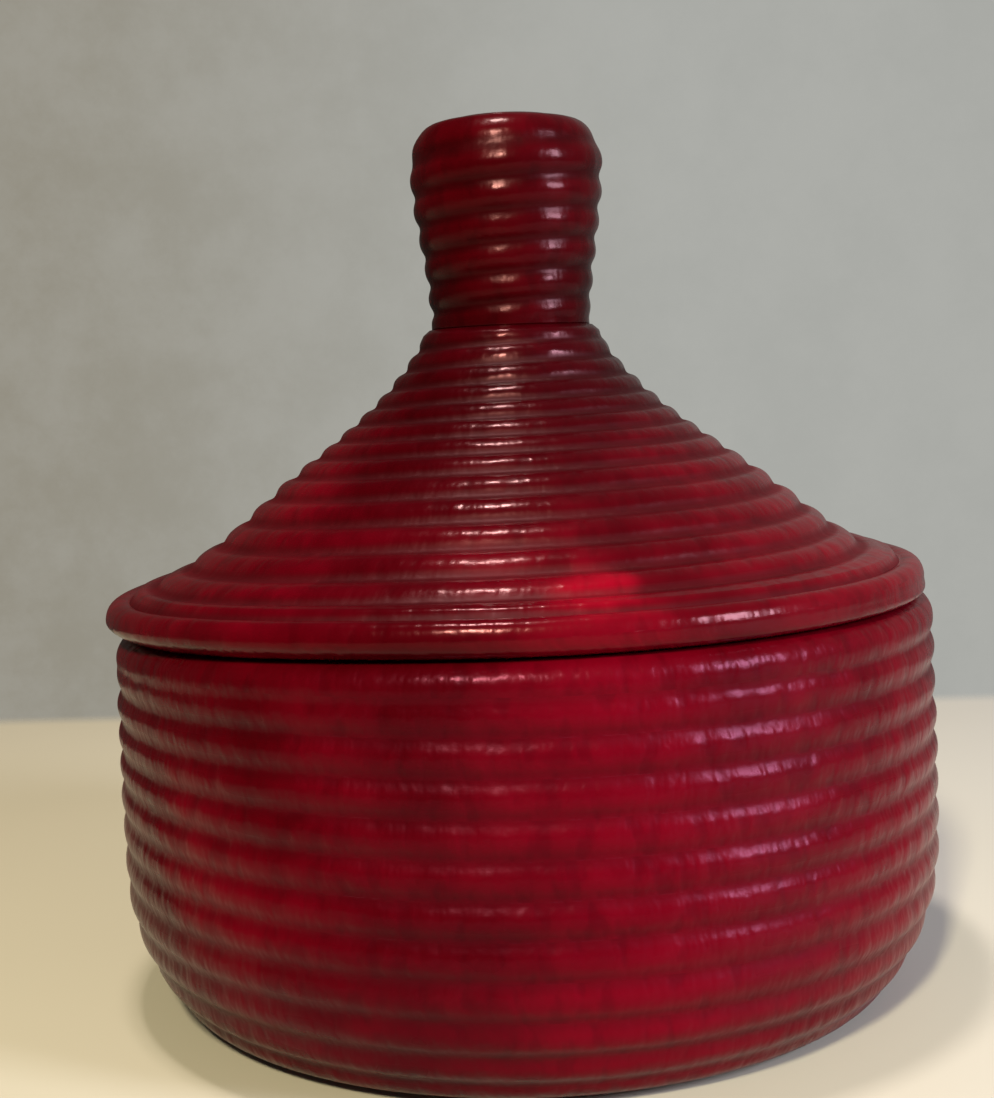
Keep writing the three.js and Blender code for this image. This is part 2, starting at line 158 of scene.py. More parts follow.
# Features of the leather's textures for each metre, and what its bumps stand for in metres
BROAD_TONES = 11.0
BLOTCHES = 34.0
DENTS = 210.0
GRAIN = 1500.0
DENT_HEIGHT = 0.0009
CREASE_HEIGHT = 0.0004
GRAIN_HEIGHT = 0.0001

# Scale of the creases, how fast they change along a rib's width, and how far each row shifts them
CREASE_SCALE = 0.55
CREASE_CHANGE = 1.5
CREASE_SHIFT = 5.3

# Ranges of a noise or a hollow over which a look goes from one end to the other
CREASE_RANGE = (0.28, 0.72)
STREAK_RANGE = (0.0, 0.45)
TONE_RANGE = (0.34, 0.66)
POLISH_RANGE = (0.2, 0.8)
GROOVE_RANGE = (0.2, 1.0)


class Leather(Enum):
    """The leathers of the basket."""

    DRUM = "drum_leather"
    LID = "lid_leather"
    KNOB = "knob_leather"
    SOLE = "sole_leather"


# Arithmetic


def unit(vectors: np.ndarray) -> np.ndarray:
    """Vectors of the same direction and length one."""
    return vectors / np.linalg.norm(vectors, axis=-1, keepdims=True)


def smooth_step(value: np.ndarray, low: float, high: float) -> np.ndarray:
    """Rises smoothly from 0 at low to 1 at high."""
    share = np.clip((value - low) / (high - low), 0, 1)
    return share**2 * (3 - 2 * share)


def within_zone(value: np.ndarray, zone: tuple[float, float, float, float]) -> np.ndarray:
    """Rises smoothly over the zone's first two values and falls over its last two."""
    return smooth_step(value, *zone[:2]) * (1 - smooth_step(value, *zone[2:]))


def spaced(low: float, high: float, step: float) -> np.ndarray:
    """Places from low to high at about that step."""
    return np.linspace(low, high, max(2, round((high - low) / step)) + 1)


def unevenness(turns: np.ndarray, seed: float) -> np.ndarray:
    """Slow hand-made wander along a strand, from -1 to 1: a sum of sines whose counts for each
    turn share no factor, so that neighbouring rows differ.

    Args:
        turns: turns along the strand from its start.
        seed: shifts the pattern.

    Returns:
        The wander at each point.
    """
    counts = np.array([3.31, 7.83, 13.17, 22.61])
    weights = np.array([0.38, 0.3, 0.2, 0.12])
    shifts = np.array([0.11, 0.47, 0.73, 0.29]) + seed
    waves = np.sin(TURN * (turns[..., None] * counts + shifts * counts))
    return (waves * weights).sum(-1)


# Lines and windings


class RowLine:
    """A line in radius and height that rows of coil follow, measured by its length.

    Places along it are in millimetres from its start. Past its ends it runs on straight.
    """

    def __init__(self, points: np.ndarray, outer_side: int) -> None:
        """Measures the line.

        Args:
            points: samples of the line, one (radius, height) a row.
            outer_side: 1 if the outer side is on the right of the line's run, else -1.
        """
        steps = np.hypot(*np.diff(points, axis=0).T)
        self.points = points
        self.places = np.concatenate([[0.0], np.cumsum(steps)])
        self.length = float(self.places[-1])
        self.tangents = unit(np.gradient(points, self.places, axis=0))
        self.outer_side = outer_side

    def frame_at(self, places: np.ndarray) -> tuple[np.ndarray, np.ndarray]:
        """Points of the line and its outward normals.

        Args:
            places: distances along the line.

        Returns:
            Points and unit normals, each with (radius, height) in the last axis.
        """
        inside = np.clip(places, 0.0, self.length)
        point, along = (
            np.stack([np.interp(inside, self.places, values[:, i]) for i in (0, 1)], -1)
            for values in (self.points, self.tangents)
        )
        along = unit(along)
        point = point + along * (places - inside)[..., None]
        normal = np.stack([along[..., 1], -along[..., 0]], -1) * self.outer_side
        return point, normal

    def point(self, place: float, offset: float = 0.0) -> np.ndarray:
        """The (radius, height) of one place, at a distance outward of the line."""
        points, normals = self.frame_at(np.array([place]))
        return (points + offset * normals)[0]

    def normal_angle(self, place: float) -> float:
        """Angle of the outward normal from the outward radius, in radians."""
        normal = self.frame_at(np.array([place]))[1][0]
        return float(np.arctan2(normal[1], normal[0]))


def straight_line(start: Sequence[float], end: Sequence[float], outer_side: int) -> RowLine:
    """A straight row line between two (radius, height) points."""
    share = np.linspace(0, 1, STRAIGHT_SAMPLES)[:, None]
    return RowLine(np.array(start) * (1 - share) + np.array(end) * share, outer_side)


def sloped_curve(
    start: np.ndarray, start_slope: float, end: np.ndarray, end_slope: float
) -> np.ndarray:
    """Samples of a cubic Bezier curve that falls at a given slope at each end.

    Args:
        start: (radius, height) of its start.
        start_slope: slope there, in degrees.
        end: (radius, height) of its end.
        end_slope: slope there, in degrees.

    Returns:
        The samples, one (radius, height) a row.
    """
    reach = np.linalg.norm(end - start) / 3
    fall = [np.array([math.cos(a), -math.sin(a)]) for a in np.radians([start_slope, end_slope])]
    after, before = start + reach * fall[0], end - reach * fall[1]
    t = np.linspace(0, 1, LINE_SAMPLES // 2)[:, None]
    rise = (1 - t) ** 3 * start + 3 * (1 - t) ** 2 * t * after
    return rise + 3 * (1 - t) * t**2 * before + t**3 * end


@dataclass(frozen=True)
class Spacing:
    """Where rows lie along a line: even at first, and from a number of rows on ever wider.

    Attributes:
        start: place of row zero.
        first_pitch: pitch of the even rows.
        even_rows: how many rows are even.
        widening: by how much each later row is wider than the last.
    """

    start: float
    first_pitch: float
    even_rows: float = math.inf
    widening: float = 0.0

    def pitch(self, rows: np.ndarray) -> np.ndarray:
        """Pitch after a number of rows."""
        return self.first_pitch + self.widening * np.maximum(0, rows - self.even_rows)

    def place(self, rows: np.ndarray) -> np.ndarray:
        """Place after a number of rows, the integral of the pitch."""
        wider = np.maximum(0, rows - self.even_rows)
        return self.start + rows * self.first_pitch + self.widening * wider**2 / 2

    def rows(self, place: np.ndarray) -> np.ndarray:
        """Rows up to a place: the place's formula solved for the rows.

        Args:
            place: distance along the line.

        Returns:
            The number of rows, not rounded.
        """
        evenly = (place - self.start) / self.first_pitch
        if self.widening == 0:
            return evenly
        past = np.maximum(0, evenly - self.even_rows) * self.first_pitch
        root = np.sqrt(self.first_pitch**2 + 2 * self.widening * past)
        return np.minimum(evenly, self.even_rows) + (root - self.first_pitch) / self.widening


@dataclass(frozen=True)
class Winding:
    """How a strand winds along a row line, one row for each turn round the axis.

    Attributes:
        line: the row line.
        spacing: how its rows are spaced.
        start_turn: turn at which the strand is at row zero.
        cane: thickness of the strand at a place.
        low: place where the first row is pared down to a level end.
        high: the same for the last row.
    """

    line: RowLine
    spacing: Spacing
    start_turn: float
    cane: Callable[[np.ndarray], np.ndarray]
    low: float
    high: float

    def row(self, place: np.ndarray, turn: np.ndarray) -> np.ndarray:
        """Row coordinate of a place: whole at each rib's crest, and a half in each groove."""
        return self.spacing.rows(place) - turn + self.start_turn

    def place(self, turn: np.ndarray) -> np.ndarray:
        """Place of the strand's middle after that many turns."""
        return self.spacing.place(turn - self.start_turn)


def even_cane(thickness: float) -> Callable[[np.ndarray], np.ndarray]:
    """Thickness by place of a strand that is equally thick all along."""
    return lambda place: thickness + 0 * np.asarray(place, float)


# Meshes


def around(radius: np.ndarray, height: np.ndarray, turn: np.ndarray) -> np.ndarray:
    """Points at a radius, a height and a number of turns clockwise from +X, seen from above."""
    angle = -TURN * turn
    return np.stack([radius * np.cos(angle), radius * np.sin(angle), height + 0 * angle], -1)


def settled(points: np.ndarray) -> np.ndarray:
    """Moves points as years of handling have pulled the basket a little out of round.

    The rim and brim have sunk on the left as the square of the distance past SETTLES_FROM, and
    only high up the wall. The brim leans to the left, the cone is fuller just above it, and the
    knob is a little fuller and leans to the right by half as much.

    Args:
        points: places of the even basket, one a row.

    Returns:
        The moved places.
    """
    x, y, z = points.T
    past = np.maximum(0, -x - SETTLES_FROM) / (BELLY_RADIUS - SETTLES_FROM)
    sunk = SETTLING * past**2 * smooth_step(z, SETTLES_ABOVE, BODY_HEIGHT)
    lean = BRIM_LEAN * within_zone(z, BRIM_LEAN_ZONE)
    knob = KNOB_FULLNESS * smooth_step(z, KNOB_FULL_FROM, KNOB_FULL_AT)
    brim = BRIM_FULLNESS * within_zone(z, BRIM_FULL_ZONE)
    size = 1 + brim / BELLY_RADIUS + knob / KNOB_TOP_RADIUS
    return np.stack([x * size - lean + knob / 2, y * size, z - sunk], -1)


@dataclass
class GridSkin:
    """A closed surface given by a grid of points with a pattern coordinate on each.

    Attributes:
        points: (rows, columns + 1, 3) in millimetres. The last column stands for the first.
        pattern: (rows, columns + 1, 2), free to differ across the repeated column.
        loop_rows: whether the last row joins the first. Otherwise each end is closed by a fan.
    """

    points: np.ndarray
    pattern: np.ndarray
    loop_rows: bool

    def quads(self) -> tuple[np.ndarray, np.ndarray]:
        """Faces with four corners between neighbouring points.

        Returns:
            The vertices of each face, and the pattern at its corners.
        """
        rows, columns = self.points.shape[0], self.points.shape[1] - 1
        row = np.arange(rows if self.loop_rows else rows - 1)
        r, c = np.meshgrid(row, np.arange(columns), indexing="ij")
        below, beside = (r + 1) % rows, c + 1
        corner_rows = np.stack([r, r, below, below], -1).reshape(-1, 4)
        corner_columns = np.stack([c, beside, beside, c], -1).reshape(-1, 4)
        faces = corner_rows * columns + corner_columns % columns
        return faces, self.pattern[corner_rows, corner_columns]

    def fans(self) -> tuple[np.ndarray, np.ndarray]:
        """Triangles that close both ends round two middles, numbered after the grid's points.

        Returns:
            The vertices of each triangle, and the pattern at its corners.
        """
        rows, columns = self.points.shape[0], self.points.shape[1] - 1
        c = np.arange(columns)
        following = (c + 1) % columns
        middle, last = rows * columns, (rows - 1) * columns
        start = np.stack([np.full(columns, middle), following, c], -1)
        end = np.stack([np.full(columns, middle + 1), last + c, last + following], -1)
        pattern = [np.broadcast_to(self.pattern[i].mean(0), (columns, 3, 2)) for i in (0, -1)]
        return np.concatenate([start, end]), np.concatenate(pattern)

    def to_object(self, name: str) -> bpy.types.Object:
        """Makes the mesh object, with faces outward and the pattern as its UV map.

        Args:
            name: the object's name.

        Returns:
            The new object, at the origin.
        """
        faces, pattern = self.quads()
        points = self.points[:, :-1].reshape(-1, 3)
        triangles, caps = np.zeros((0, 3), int), np.zeros((0, 3, 2))
        if not self.loop_rows:
            triangles, caps = self.fans()
            points = np.concatenate([points, self.points[[0, -1], :-1].mean(1)])
        if signed_volume(points, faces, triangles) < 0:
            faces, pattern, triangles = faces[:, ::-1], pattern[:, ::-1], triangles[:, ::-1]
        loops = np.concatenate([faces.ravel(), triangles.ravel()])
        sizes = np.concatenate([np.full(len(faces), 4), np.full(len(triangles), 3)])
        uv = np.concatenate([pattern.reshape(-1, 2), caps.reshape(-1, 2)])
        return mesh_object(name, settled(points) * MM, loops, sizes, uv)


def signed_volume(points: np.ndarray, quads: np.ndarray, triangles: np.ndarray) -> float:
    """Volume inside the faces, negative if they point inwards: a sum of tetrahedra.

    Args:
        points: vertices.
        quads: faces with four corners.
        triangles: faces with three.

    Returns:
        The volume.
    """
    halves = np.concatenate([quads[:, [0, 1, 2]], quads[:, [0, 2, 3]], triangles])
    a, b, c = (points[halves[:, i]] for i in range(3))
    return float((a * np.cross(b, c)).sum() / 6)


def mesh_object(
    name: str, points: np.ndarray, loops: np.ndarray, sizes: np.ndarray, uv: np.ndarray
) -> bpy.types.Object:
    """Puts arrays into a smooth-shaded mesh object.

    Args:
        name: the object's name.
        points: vertices in metres.
        loops: the vertex of each face corner.
        sizes: corners of each face.
        uv: pattern coordinate of each face corner.

    Returns:
        The object, linked to the scene.
    """
    mesh = bpy.data.meshes.new(name)
    mesh.vertices.add(len(points))
    mesh.vertices.foreach_set("co", points.astype(np.float32).ravel())
    mesh.loops.add(len(loops))
    mesh.loops.foreach_set("vertex_index", loops.astype(np.int32))
    mesh.polygons.add(len(sizes))
    starts = np.concatenate([[0], np.cumsum(sizes)[:-1]])
    mesh.polygons.foreach_set("loop_start", starts.astype(np.int32))
    mesh.polygons.foreach_set("use_smooth", np.ones(len(sizes), bool))
    layer = mesh.uv_layers.new(name=PATTERN_MAP)
    layer.data.foreach_set("uv", uv.astype(np.float32).ravel())
    mesh.update(calc_edges=True)
    mesh.validate()
    obj = bpy.data.objects.new(name, mesh)
    bpy.context.scene.collection.objects.link(obj)
    return obj


# Leather skins


@dataclass
class Section:
    """Stations of a leather skin's section, before its ribs are pressed in.

    Attributes:
        point: (radius, height) of each station.
        normal: outward unit normal of each.
        place: place along the row line, for the pattern.
        rib: how much of the rib depth shows there, more than 1 where rows are wide.
        hollow: how deep it lies in a hollow other than the ribs' grooves, 0 to 1.
    """

    point: np.ndarray
    normal: np.ndarray
    place: np.ndarray
    rib: np.ndarray
    hollow: np.ndarray

    @classmethod
    def joined(cls, parts: Sequence["Section"]) -> "Section":
        """One section from several that follow each other, without doubled stations.

        Args:
            parts: the sections in order.

        Returns:
            The whole section.
        """
        names = ("point", "normal", "place", "rib", "hollow")
        whole = [np.concatenate([getattr(part, name) for part in parts]) for name in names]
        steps = np.linalg.norm(np.diff(whole[0], axis=0), axis=1)
        kept = np.concatenate([[True], steps > DOUBLED_WITHIN])
        return cls(*(values[kept] for values in whole))

    @classmethod
    def along(
        cls, line: RowLine, places: np.ndarray, offset: np.ndarray | float, fade: float
    ) -> "Section":
        """Stations along a row line at an offset, whose ribs fade in from both ends.

        Args:
            line: the row line.
            places: places of the stations.
            offset: distance outward of the line, one for all or one for each place.
            fade: length of the smooth fade at each end.

        Returns:
            The section.
        """
        point, normal = line.frame_at(places)
        offset = np.broadcast_to(offset, places.shape)[:, None]
        from_ends = np.minimum(places - places.min(), places.max() - places)
        ribbed = smooth_step(from_ends, 0.0, fade)
        return cls(point + offset * normal, normal, places, ribbed, 0 * ribbed)

    @classmethod
    def arc(
        cls, centre: np.ndarray, radius: float, angles: Pair, place: float, run: int
    ) -> "Section":
        """An arc without ribs round a row's middle.

        Args:
            centre: (radius, height) of the row's middle.
            radius: radius of the arc.
            angles: first and last angle, from the outward radius towards +Z.
            place: place along the line where the arc begins or ends.
            run: 1 if places grow along the arc from there, -1 if they grow up to there.

        Returns:
            The section.
        """
        count = max(LEAST_ARC_STATIONS, round(abs(angles[1] - angles[0]) / ARC_STEP))
        angle = np.linspace(*angles, count)
        normal = np.stack([np.cos(angle), np.sin(angle)], -1)
        travelled = np.abs(angle - angles[0]) * radius
        places = place + travelled if run > 0 else place - travelled[-1] + travelled
        return cls(centre + radius * normal, normal, places, np.zeros(count), np.zeros(count))

    @classmethod
    def hem(
        cls, start: Sequence[float], end: Sequence[float], normal: Sequence[float], place: float
    ) -> "Section":
        """A straight strip without ribs, which is turned over as a hem.

        Args:
            start: (radius, height) where it starts.
            end: (radius, height) where it ends.
            normal: its outward unit normal.
            place: place of its start for the pattern.

        Returns:
            The section.
        """
        share = np.linspace(0, 1, HEM_STATIONS)[:, None]
        point = np.array(start) * (1 - share) + np.array(end) * share
        places = place + share[:, 0] * math.dist(start, end)
        normals = np.tile(np.array(normal, float), (HEM_STATIONS, 1))
        return cls(point, normals, places, np.zeros(HEM_STATIONS), np.zeros(HEM_STATIONS))


def rib_drop(phase: np.ndarray, sharpness: float) -> np.ndarray:
    """How far ribbed leather lies below the crest, from 0 at the crest to 1 in the groove.

    The leather bridges the round strands, so the drop is between a cosine wave and that wave
    squared, which is sharper in the groove.

    Args:
        phase: distance from the crest, in rows.
        sharpness: share of the squared wave.

    Returns:
        The drop.
    """
    wave = 0.5 - 0.5 * np.cos(TURN * phase)
    return (1 - sharpness) * wave + sharpness * wave**2


@dataclass(frozen=True)
class MouldedSkin:
    """Leather moulded wet over wound rows, as one closed shell with an outer face and a lining.

    Attributes:
        name: the piece's name.
        winding: the strand whose ribs show.
        section: gives the section of a face at an inset from the outside, with rows a rib.
        depth: depth of the grooves.
        sharpness: how much sharper the grooves are than the crests, 0 to 1.
        columns: columns of the mesh round the axis.
        seed: shifts the unevenness.
        lap: how far the leather's lap seam at the back stands up.
    """

    name: str
    winding: Winding
    section: Callable[[float, int], Section]
    depth: float
    sharpness: float
    columns: int
    seed: float
    lap: float = 0.35

    def face(self, inset: float, rows_per_rib: int) -> tuple[np.ndarray, np.ndarray, np.ndarray]:
        """One face of the shell.

        Each station moves inwards along its normal by the rib's drop at its phase. A slow wander
        of the phase and the height keeps the ribs from looking machined, and a smooth step at
        the seam is the upper flap's edge.

        Args:
            inset: how far the face lies inside the leather's outer side.
            rows_per_rib: rows of the mesh for each rib.

        Returns:
            Points, pattern and hollowness of the face, each on its grid.
        """
        section = self.section(inset, rows_per_rib)
        column = self.seam_columns()
        turn = (column + BACK_TURN)[None, :]
        row = self.winding.row(section.place[:, None], turn)
        crest = np.floor(row + 0.5)
        on_crest = 0.5 + 0.5 * np.cos(TURN * (row - crest))
        shift = PHASE_WANDER * unevenness(turn, self.seed + PHASE_SEED)
        share = rib_drop(row - crest + shift * on_crest, self.sharpness)
        drop = self.depth * share + CREST_WANDER * unevenness(turn + crest, self.seed) * on_crest
        from_seam = column * TURN * section.point[:, :1]
        flap = smooth_step(from_seam, 0.0, FLAP_EDGE)
        flap = flap * smooth_step(FLAP_WIDTH - from_seam, 0.0, FLAP_PARING)
        rise = (self.lap * flap - drop * section.rib[:, None])[..., None]
        place = section.point[:, None, :] + rise * section.normal[:, None, :]
        points = around(place[..., 0], place[..., 1], turn)
        pattern = np.stack(np.broadcast_arrays(turn, row), -1)
        hollow = np.maximum(share * np.minimum(section.rib, 1)[:, None], section.hollow[:, None])
        return points, pattern, hollow

    def seam_columns(self) -> np.ndarray:
        """Columns from 0 to 1 round the axis, close together near the seam.

        Returns:
            The columns in order, one more than the mesh has.
        """
        extra = len(COLUMNS_PAST_SEAM) + len(COLUMNS_BEFORE_SEAM)
        even = np.linspace(0, 1, self.columns + 1 - extra)
        past = even[1] * np.array(COLUMNS_PAST_SEAM)
        before = 1 - even[1] * np.array(COLUMNS_BEFORE_SEAM)
        return np.sort(np.concatenate([even, past, before]))

    def build(self) -> bpy.types.Object:
        """Makes the shell from its outer face and its lining.

        Returns:
            The piece.
        """
        outer = self.face(0.0, ROWS_PER_RIB)
        lining = self.face(LEATHER, LINING_ROWS_PER_RIB)
        points, pattern, hollow = (np.concatenate([a, b[::-1]]) for a, b in zip(outer, lining))
        obj = GridSkin(points, pattern, loop_rows=True).to_object(self.name)
        # How deep each point lies in a groove: the leather's colour darkens by it, as dye and
        # painted shade
        attribute = obj.data.attributes.new(HOLLOW, "FLOAT", "POINT")
        attribute.data.foreach_set("value", hollow[:, :-1].astype(np.float32).ravel())
        return obj


# Wound strands, discs and stitches


def bound(count: np.ndarray, swell: float) -> np.ndarray:
    """A bound strand's thickness over its mean: an absolute sine of the number of wraps."""
    return 1 + swell * (np.abs(np.sin(math.pi * count)) - WRAP_MEAN)


@dataclass(frozen=True)
class BoundStrand:
    """A strand of wicker bound with a flat splint, wound along a row line.

    Attributes:
        name: the piece's name.
        winding: the line that it follows and its level limits.
        fullness: the strand's thickness over that of the frame's solid.
        splint: width of one wrap of the splint.
        swell: how much the strand swells over each wrap.
        sides: corners of the strand's section.
        stations_per_wrap: sections of the mesh for each wrap.
    """

    name: str
    winding: Winding
    fullness: float = 1.08
    splint: float = 2.6
    swell: float = 0.045
    sides: int = 9
    stations_per_wrap: int = 3

    def middles(self, turns: np.ndarray) -> tuple[np.ndarray, np.ndarray, np.ndarray]:
        """The strand's middle line at given turns.

        Where a row would pass a level limit of the winding it is pared down to a wedge.

        Args:
            turns: turns round the axis.

        Returns:
            Middle, outward direction and radius of the strand at each turn.
        """
        w = self.winding
        place = w.place(turns)
        half = w.cane(place) / 2
        low = np.maximum(place - half, w.low - w.cane(w.low) / 2)
        high = np.minimum(place + half, w.high + w.cane(w.high) / 2)
        point, normal = w.line.frame_at((low + high) / 2)
        middle = around(point[:, 0], point[:, 1], turns)
        tip = point + normal
        outward = around(tip[:, 0], tip[:, 1], turns) - middle
        return middle, outward, (high - low) / 2

    def turns(self) -> np.ndarray:
        """Where the mesh's sections are, evenly spaced along the strand's own length.

        Returns:
            The turn of each section.
        """
        w = self.winding
        first = w.start_turn + float(w.spacing.rows(w.low - w.cane(w.low) + STRAND_TIP))
        last = w.start_turn + float(w.spacing.rows(w.high + w.cane(w.high) - STRAND_TIP))
        fine = np.linspace(first, last, int((last - first) * FINE_STEPS_PER_TURN))
        steps = np.linalg.norm(np.diff(self.middles(fine)[0], axis=0), axis=1)
        length = np.concatenate([[0], np.cumsum(steps)])
        count = int(length[-1] / self.splint * self.stations_per_wrap)
        return np.interp(np.linspace(0, length[-1], count), length, fine)

    def build(self) -> bpy.types.Object:
        """Makes the strand: a tube whose radius swells over each slanted wrap of the splint.

        The number of wraps grows along the strand and, for the slant, by one once round it.

        Returns:
            The piece.
        """
        turns = self.turns()
        middle, outward, radius = self.middles(turns)
        forward = unit(np.gradient(middle, axis=0))
        outward = unit(outward - (outward * forward).sum(1)[:, None] * forward)
        across = np.cross(forward, outward)
        side = np.linspace(0, 1, self.sides + 1)[None, :]
        count = np.arange(len(turns))[:, None] / self.stations_per_wrap + side
        uneven = 1 + STRAND_WANDER * unevenness(turns, STRAND_SEED)[:, None]
        reach = (radius * self.fullness)[:, None] * bound(count, self.swell) * uneven
        angle = TURN * side[..., None]
        direction = outward[:, None, :] * np.cos(angle) + across[:, None, :] * np.sin(angle)
        points = middle[:, None, :] + reach[..., None] * direction
        pattern = np.stack(np.broadcast_arrays(count, side), -1)
        return GridSkin(points, pattern, loop_rows=False).to_object(self.name)


@dataclass(frozen=True)
class BoundHoop:
    """A level ring of cane, bound with the same slanted wraps as a strand.

    Attributes:
        name: the piece's name.
        radius: radius of its middle line.
        level: height of its middle line.
        cane: thickness of the cane.
        wraps: wraps of the splint all the way round.
        swell: how much the ring swells over each wrap.
        sides: corners of its section.
        stations_per_wrap: sections of the mesh for each wrap.
    """

    name: str
    radius: float
    level: float
    cane: float
    wraps: int = 210
    swell: float = 0.04
    sides: int = 8
    stations_per_wrap: int = 4

    def build(self) -> bpy.types.Object:
        """Makes the ring, with its sides as the rows of the grid.

        Returns:
            The piece.
        """
        turn = np.linspace(0, 1, self.wraps * self.stations_per_wrap + 1)[None, :]
        side = np.linspace(0, 1, self.sides + 1)[:, None]
        count = turn * self.wraps + side
        reach = self.cane / 2 * bound(count, self.swell)
        out, up = reach * np.cos(TURN * side), reach * np.sin(TURN * side)
        points = around(self.radius + out, self.level + up, turn)
        pattern = np.stack(np.broadcast_arrays(count, side), -1)
        return GridSkin(points[:-1], pattern[:-1], loop_rows=True).to_object(self.name)


@dataclass(frozen=True)
class TurnedDisc:
    """A leather disc, turned from a profile with a worn edge.

    Attributes:
        name: the piece's name.
        radius: radius of the disc.
        bottom: height of its under side.
        thickness: thickness at its middle.
        edge: corners of its edge from the bottom up, each (how far in, how high).
        eye: radius of the small fan that closes each side.
        columns: columns of the mesh round the axis.
    """

    name: str
    radius: float
    bottom: float
    thickness: float
    edge: Sequence[Pair]
    eye: float
    columns: int

    def build(self) -> bpy.types.Object:
        """Turns the profile, with stations spread along the straights between its corners.

        Returns:
            The piece.
        """
        edge = [(self.radius - inward, self.bottom + rise) for inward, rise in self.edge]
        top = self.bottom + self.thickness
        corners = np.array([(self.eye, self.bottom), *edge, (self.eye, top)])
        steps = np.concatenate([[0], np.cumsum(np.hypot(*np.diff(corners, axis=0).T))])
        fine = np.unique(np.concatenate([steps, np.linspace(0, steps[-1], PROFILE_STATIONS)]))
        radius, height = (np.interp(fine, steps, corners[:, i])[:, None] for i in (0, 1))
        turn = np.linspace(0, 1, self.columns + 1)[None, :]
        pattern = np.stack(np.broadcast_arrays(turn, fine[:, None] / LID_PITCH), -1)
        return GridSkin(around(radius, height, turn), pattern, loop_rows=False).to_object(self.name)


@dataclass(frozen=True)
class RunningStitch:
    """A ring of running stitches: short threads that lie on leather between needle holes.

    Attributes:
        name: the piece's name.
        radius: radius of the ring, at the leather.
        height: height of the ring.
        outward: unit (radius, height) direction off the leather.
        count: number of stitches.
        length: length of the thread that shows in one stitch.
        thread: thickness of the thread.
        lift: height of the thread's middle over the leather, halfway along a stitch.
        blunt: how blunt a stitch's ends are, 0 to 1.
    """

    name: str
    radius: float
    height: float
    outward: Pair
    count: int
    length: float = 3.6
    thread: float = 0.45
    lift: float = 0.16
    blunt: float = 0.02

    def build(self) -> bpy.types.Object:
        """Makes the stitches: spindles with six sides that dip into the leather at both ends.

        Returns:
            The piece.
        """
        along = np.linspace(-1, 1, STITCH_RINGS)
        girth = np.sqrt(np.clip(1 - along**4, self.blunt, 1))[:, None] * self.thread / 2
        dip = self.lift - self.thread / 2 * np.abs(along[:, None]) ** 3
        side = np.arange(STITCH_SIDES) / STITCH_SIDES * TURN
        off, aside = dip + girth * np.cos(side), girth * np.sin(side)
        radius = self.radius + off * self.outward[0] + aside * self.outward[1]
        height = self.height + off * self.outward[1] - aside * self.outward[0]
        stitch = np.arange(self.count)[:, None, None]
        reach = self.length / 2 / (TURN * self.radius)
        turn = stitch / self.count + along[:, None] * reach + 0 * radius
        points = around(radius, height, turn).reshape(-1, 3)
        faces = (self.faces() + stitch * STITCH_RINGS * STITCH_SIDES).reshape(-1, 4)
        if signed_volume(points, faces, np.zeros((0, 3), int)) < 0:
            faces = faces[:, ::-1]
        uv = np.zeros((faces.size, 2))
        corners = np.full(len(faces), 4)
        return mesh_object(self.name, settled(points) * MM, faces.ravel(), corners, uv)

    def faces(self) -> np.ndarray:
        """Faces of one spindle: bands between its rings, and two faces for each end.

        Returns:
            The vertices of each face.
        """
        ring, edge = np.indices((STITCH_RINGS - 1, STITCH_SIDES))
        first, following = ring * STITCH_SIDES, (edge + 1) % STITCH_SIDES
        band = np.stack([first + edge, first + following], -1)
        band = np.concatenate([band, band[..., ::-1] + STITCH_SIDES], -1).reshape(-1, 4)
        end = np.array(STITCH_END)
        return np.concatenate([band, end[:, ::-1], end + (STITCH_RINGS - 1) * STITCH_SIDES])


# Materials


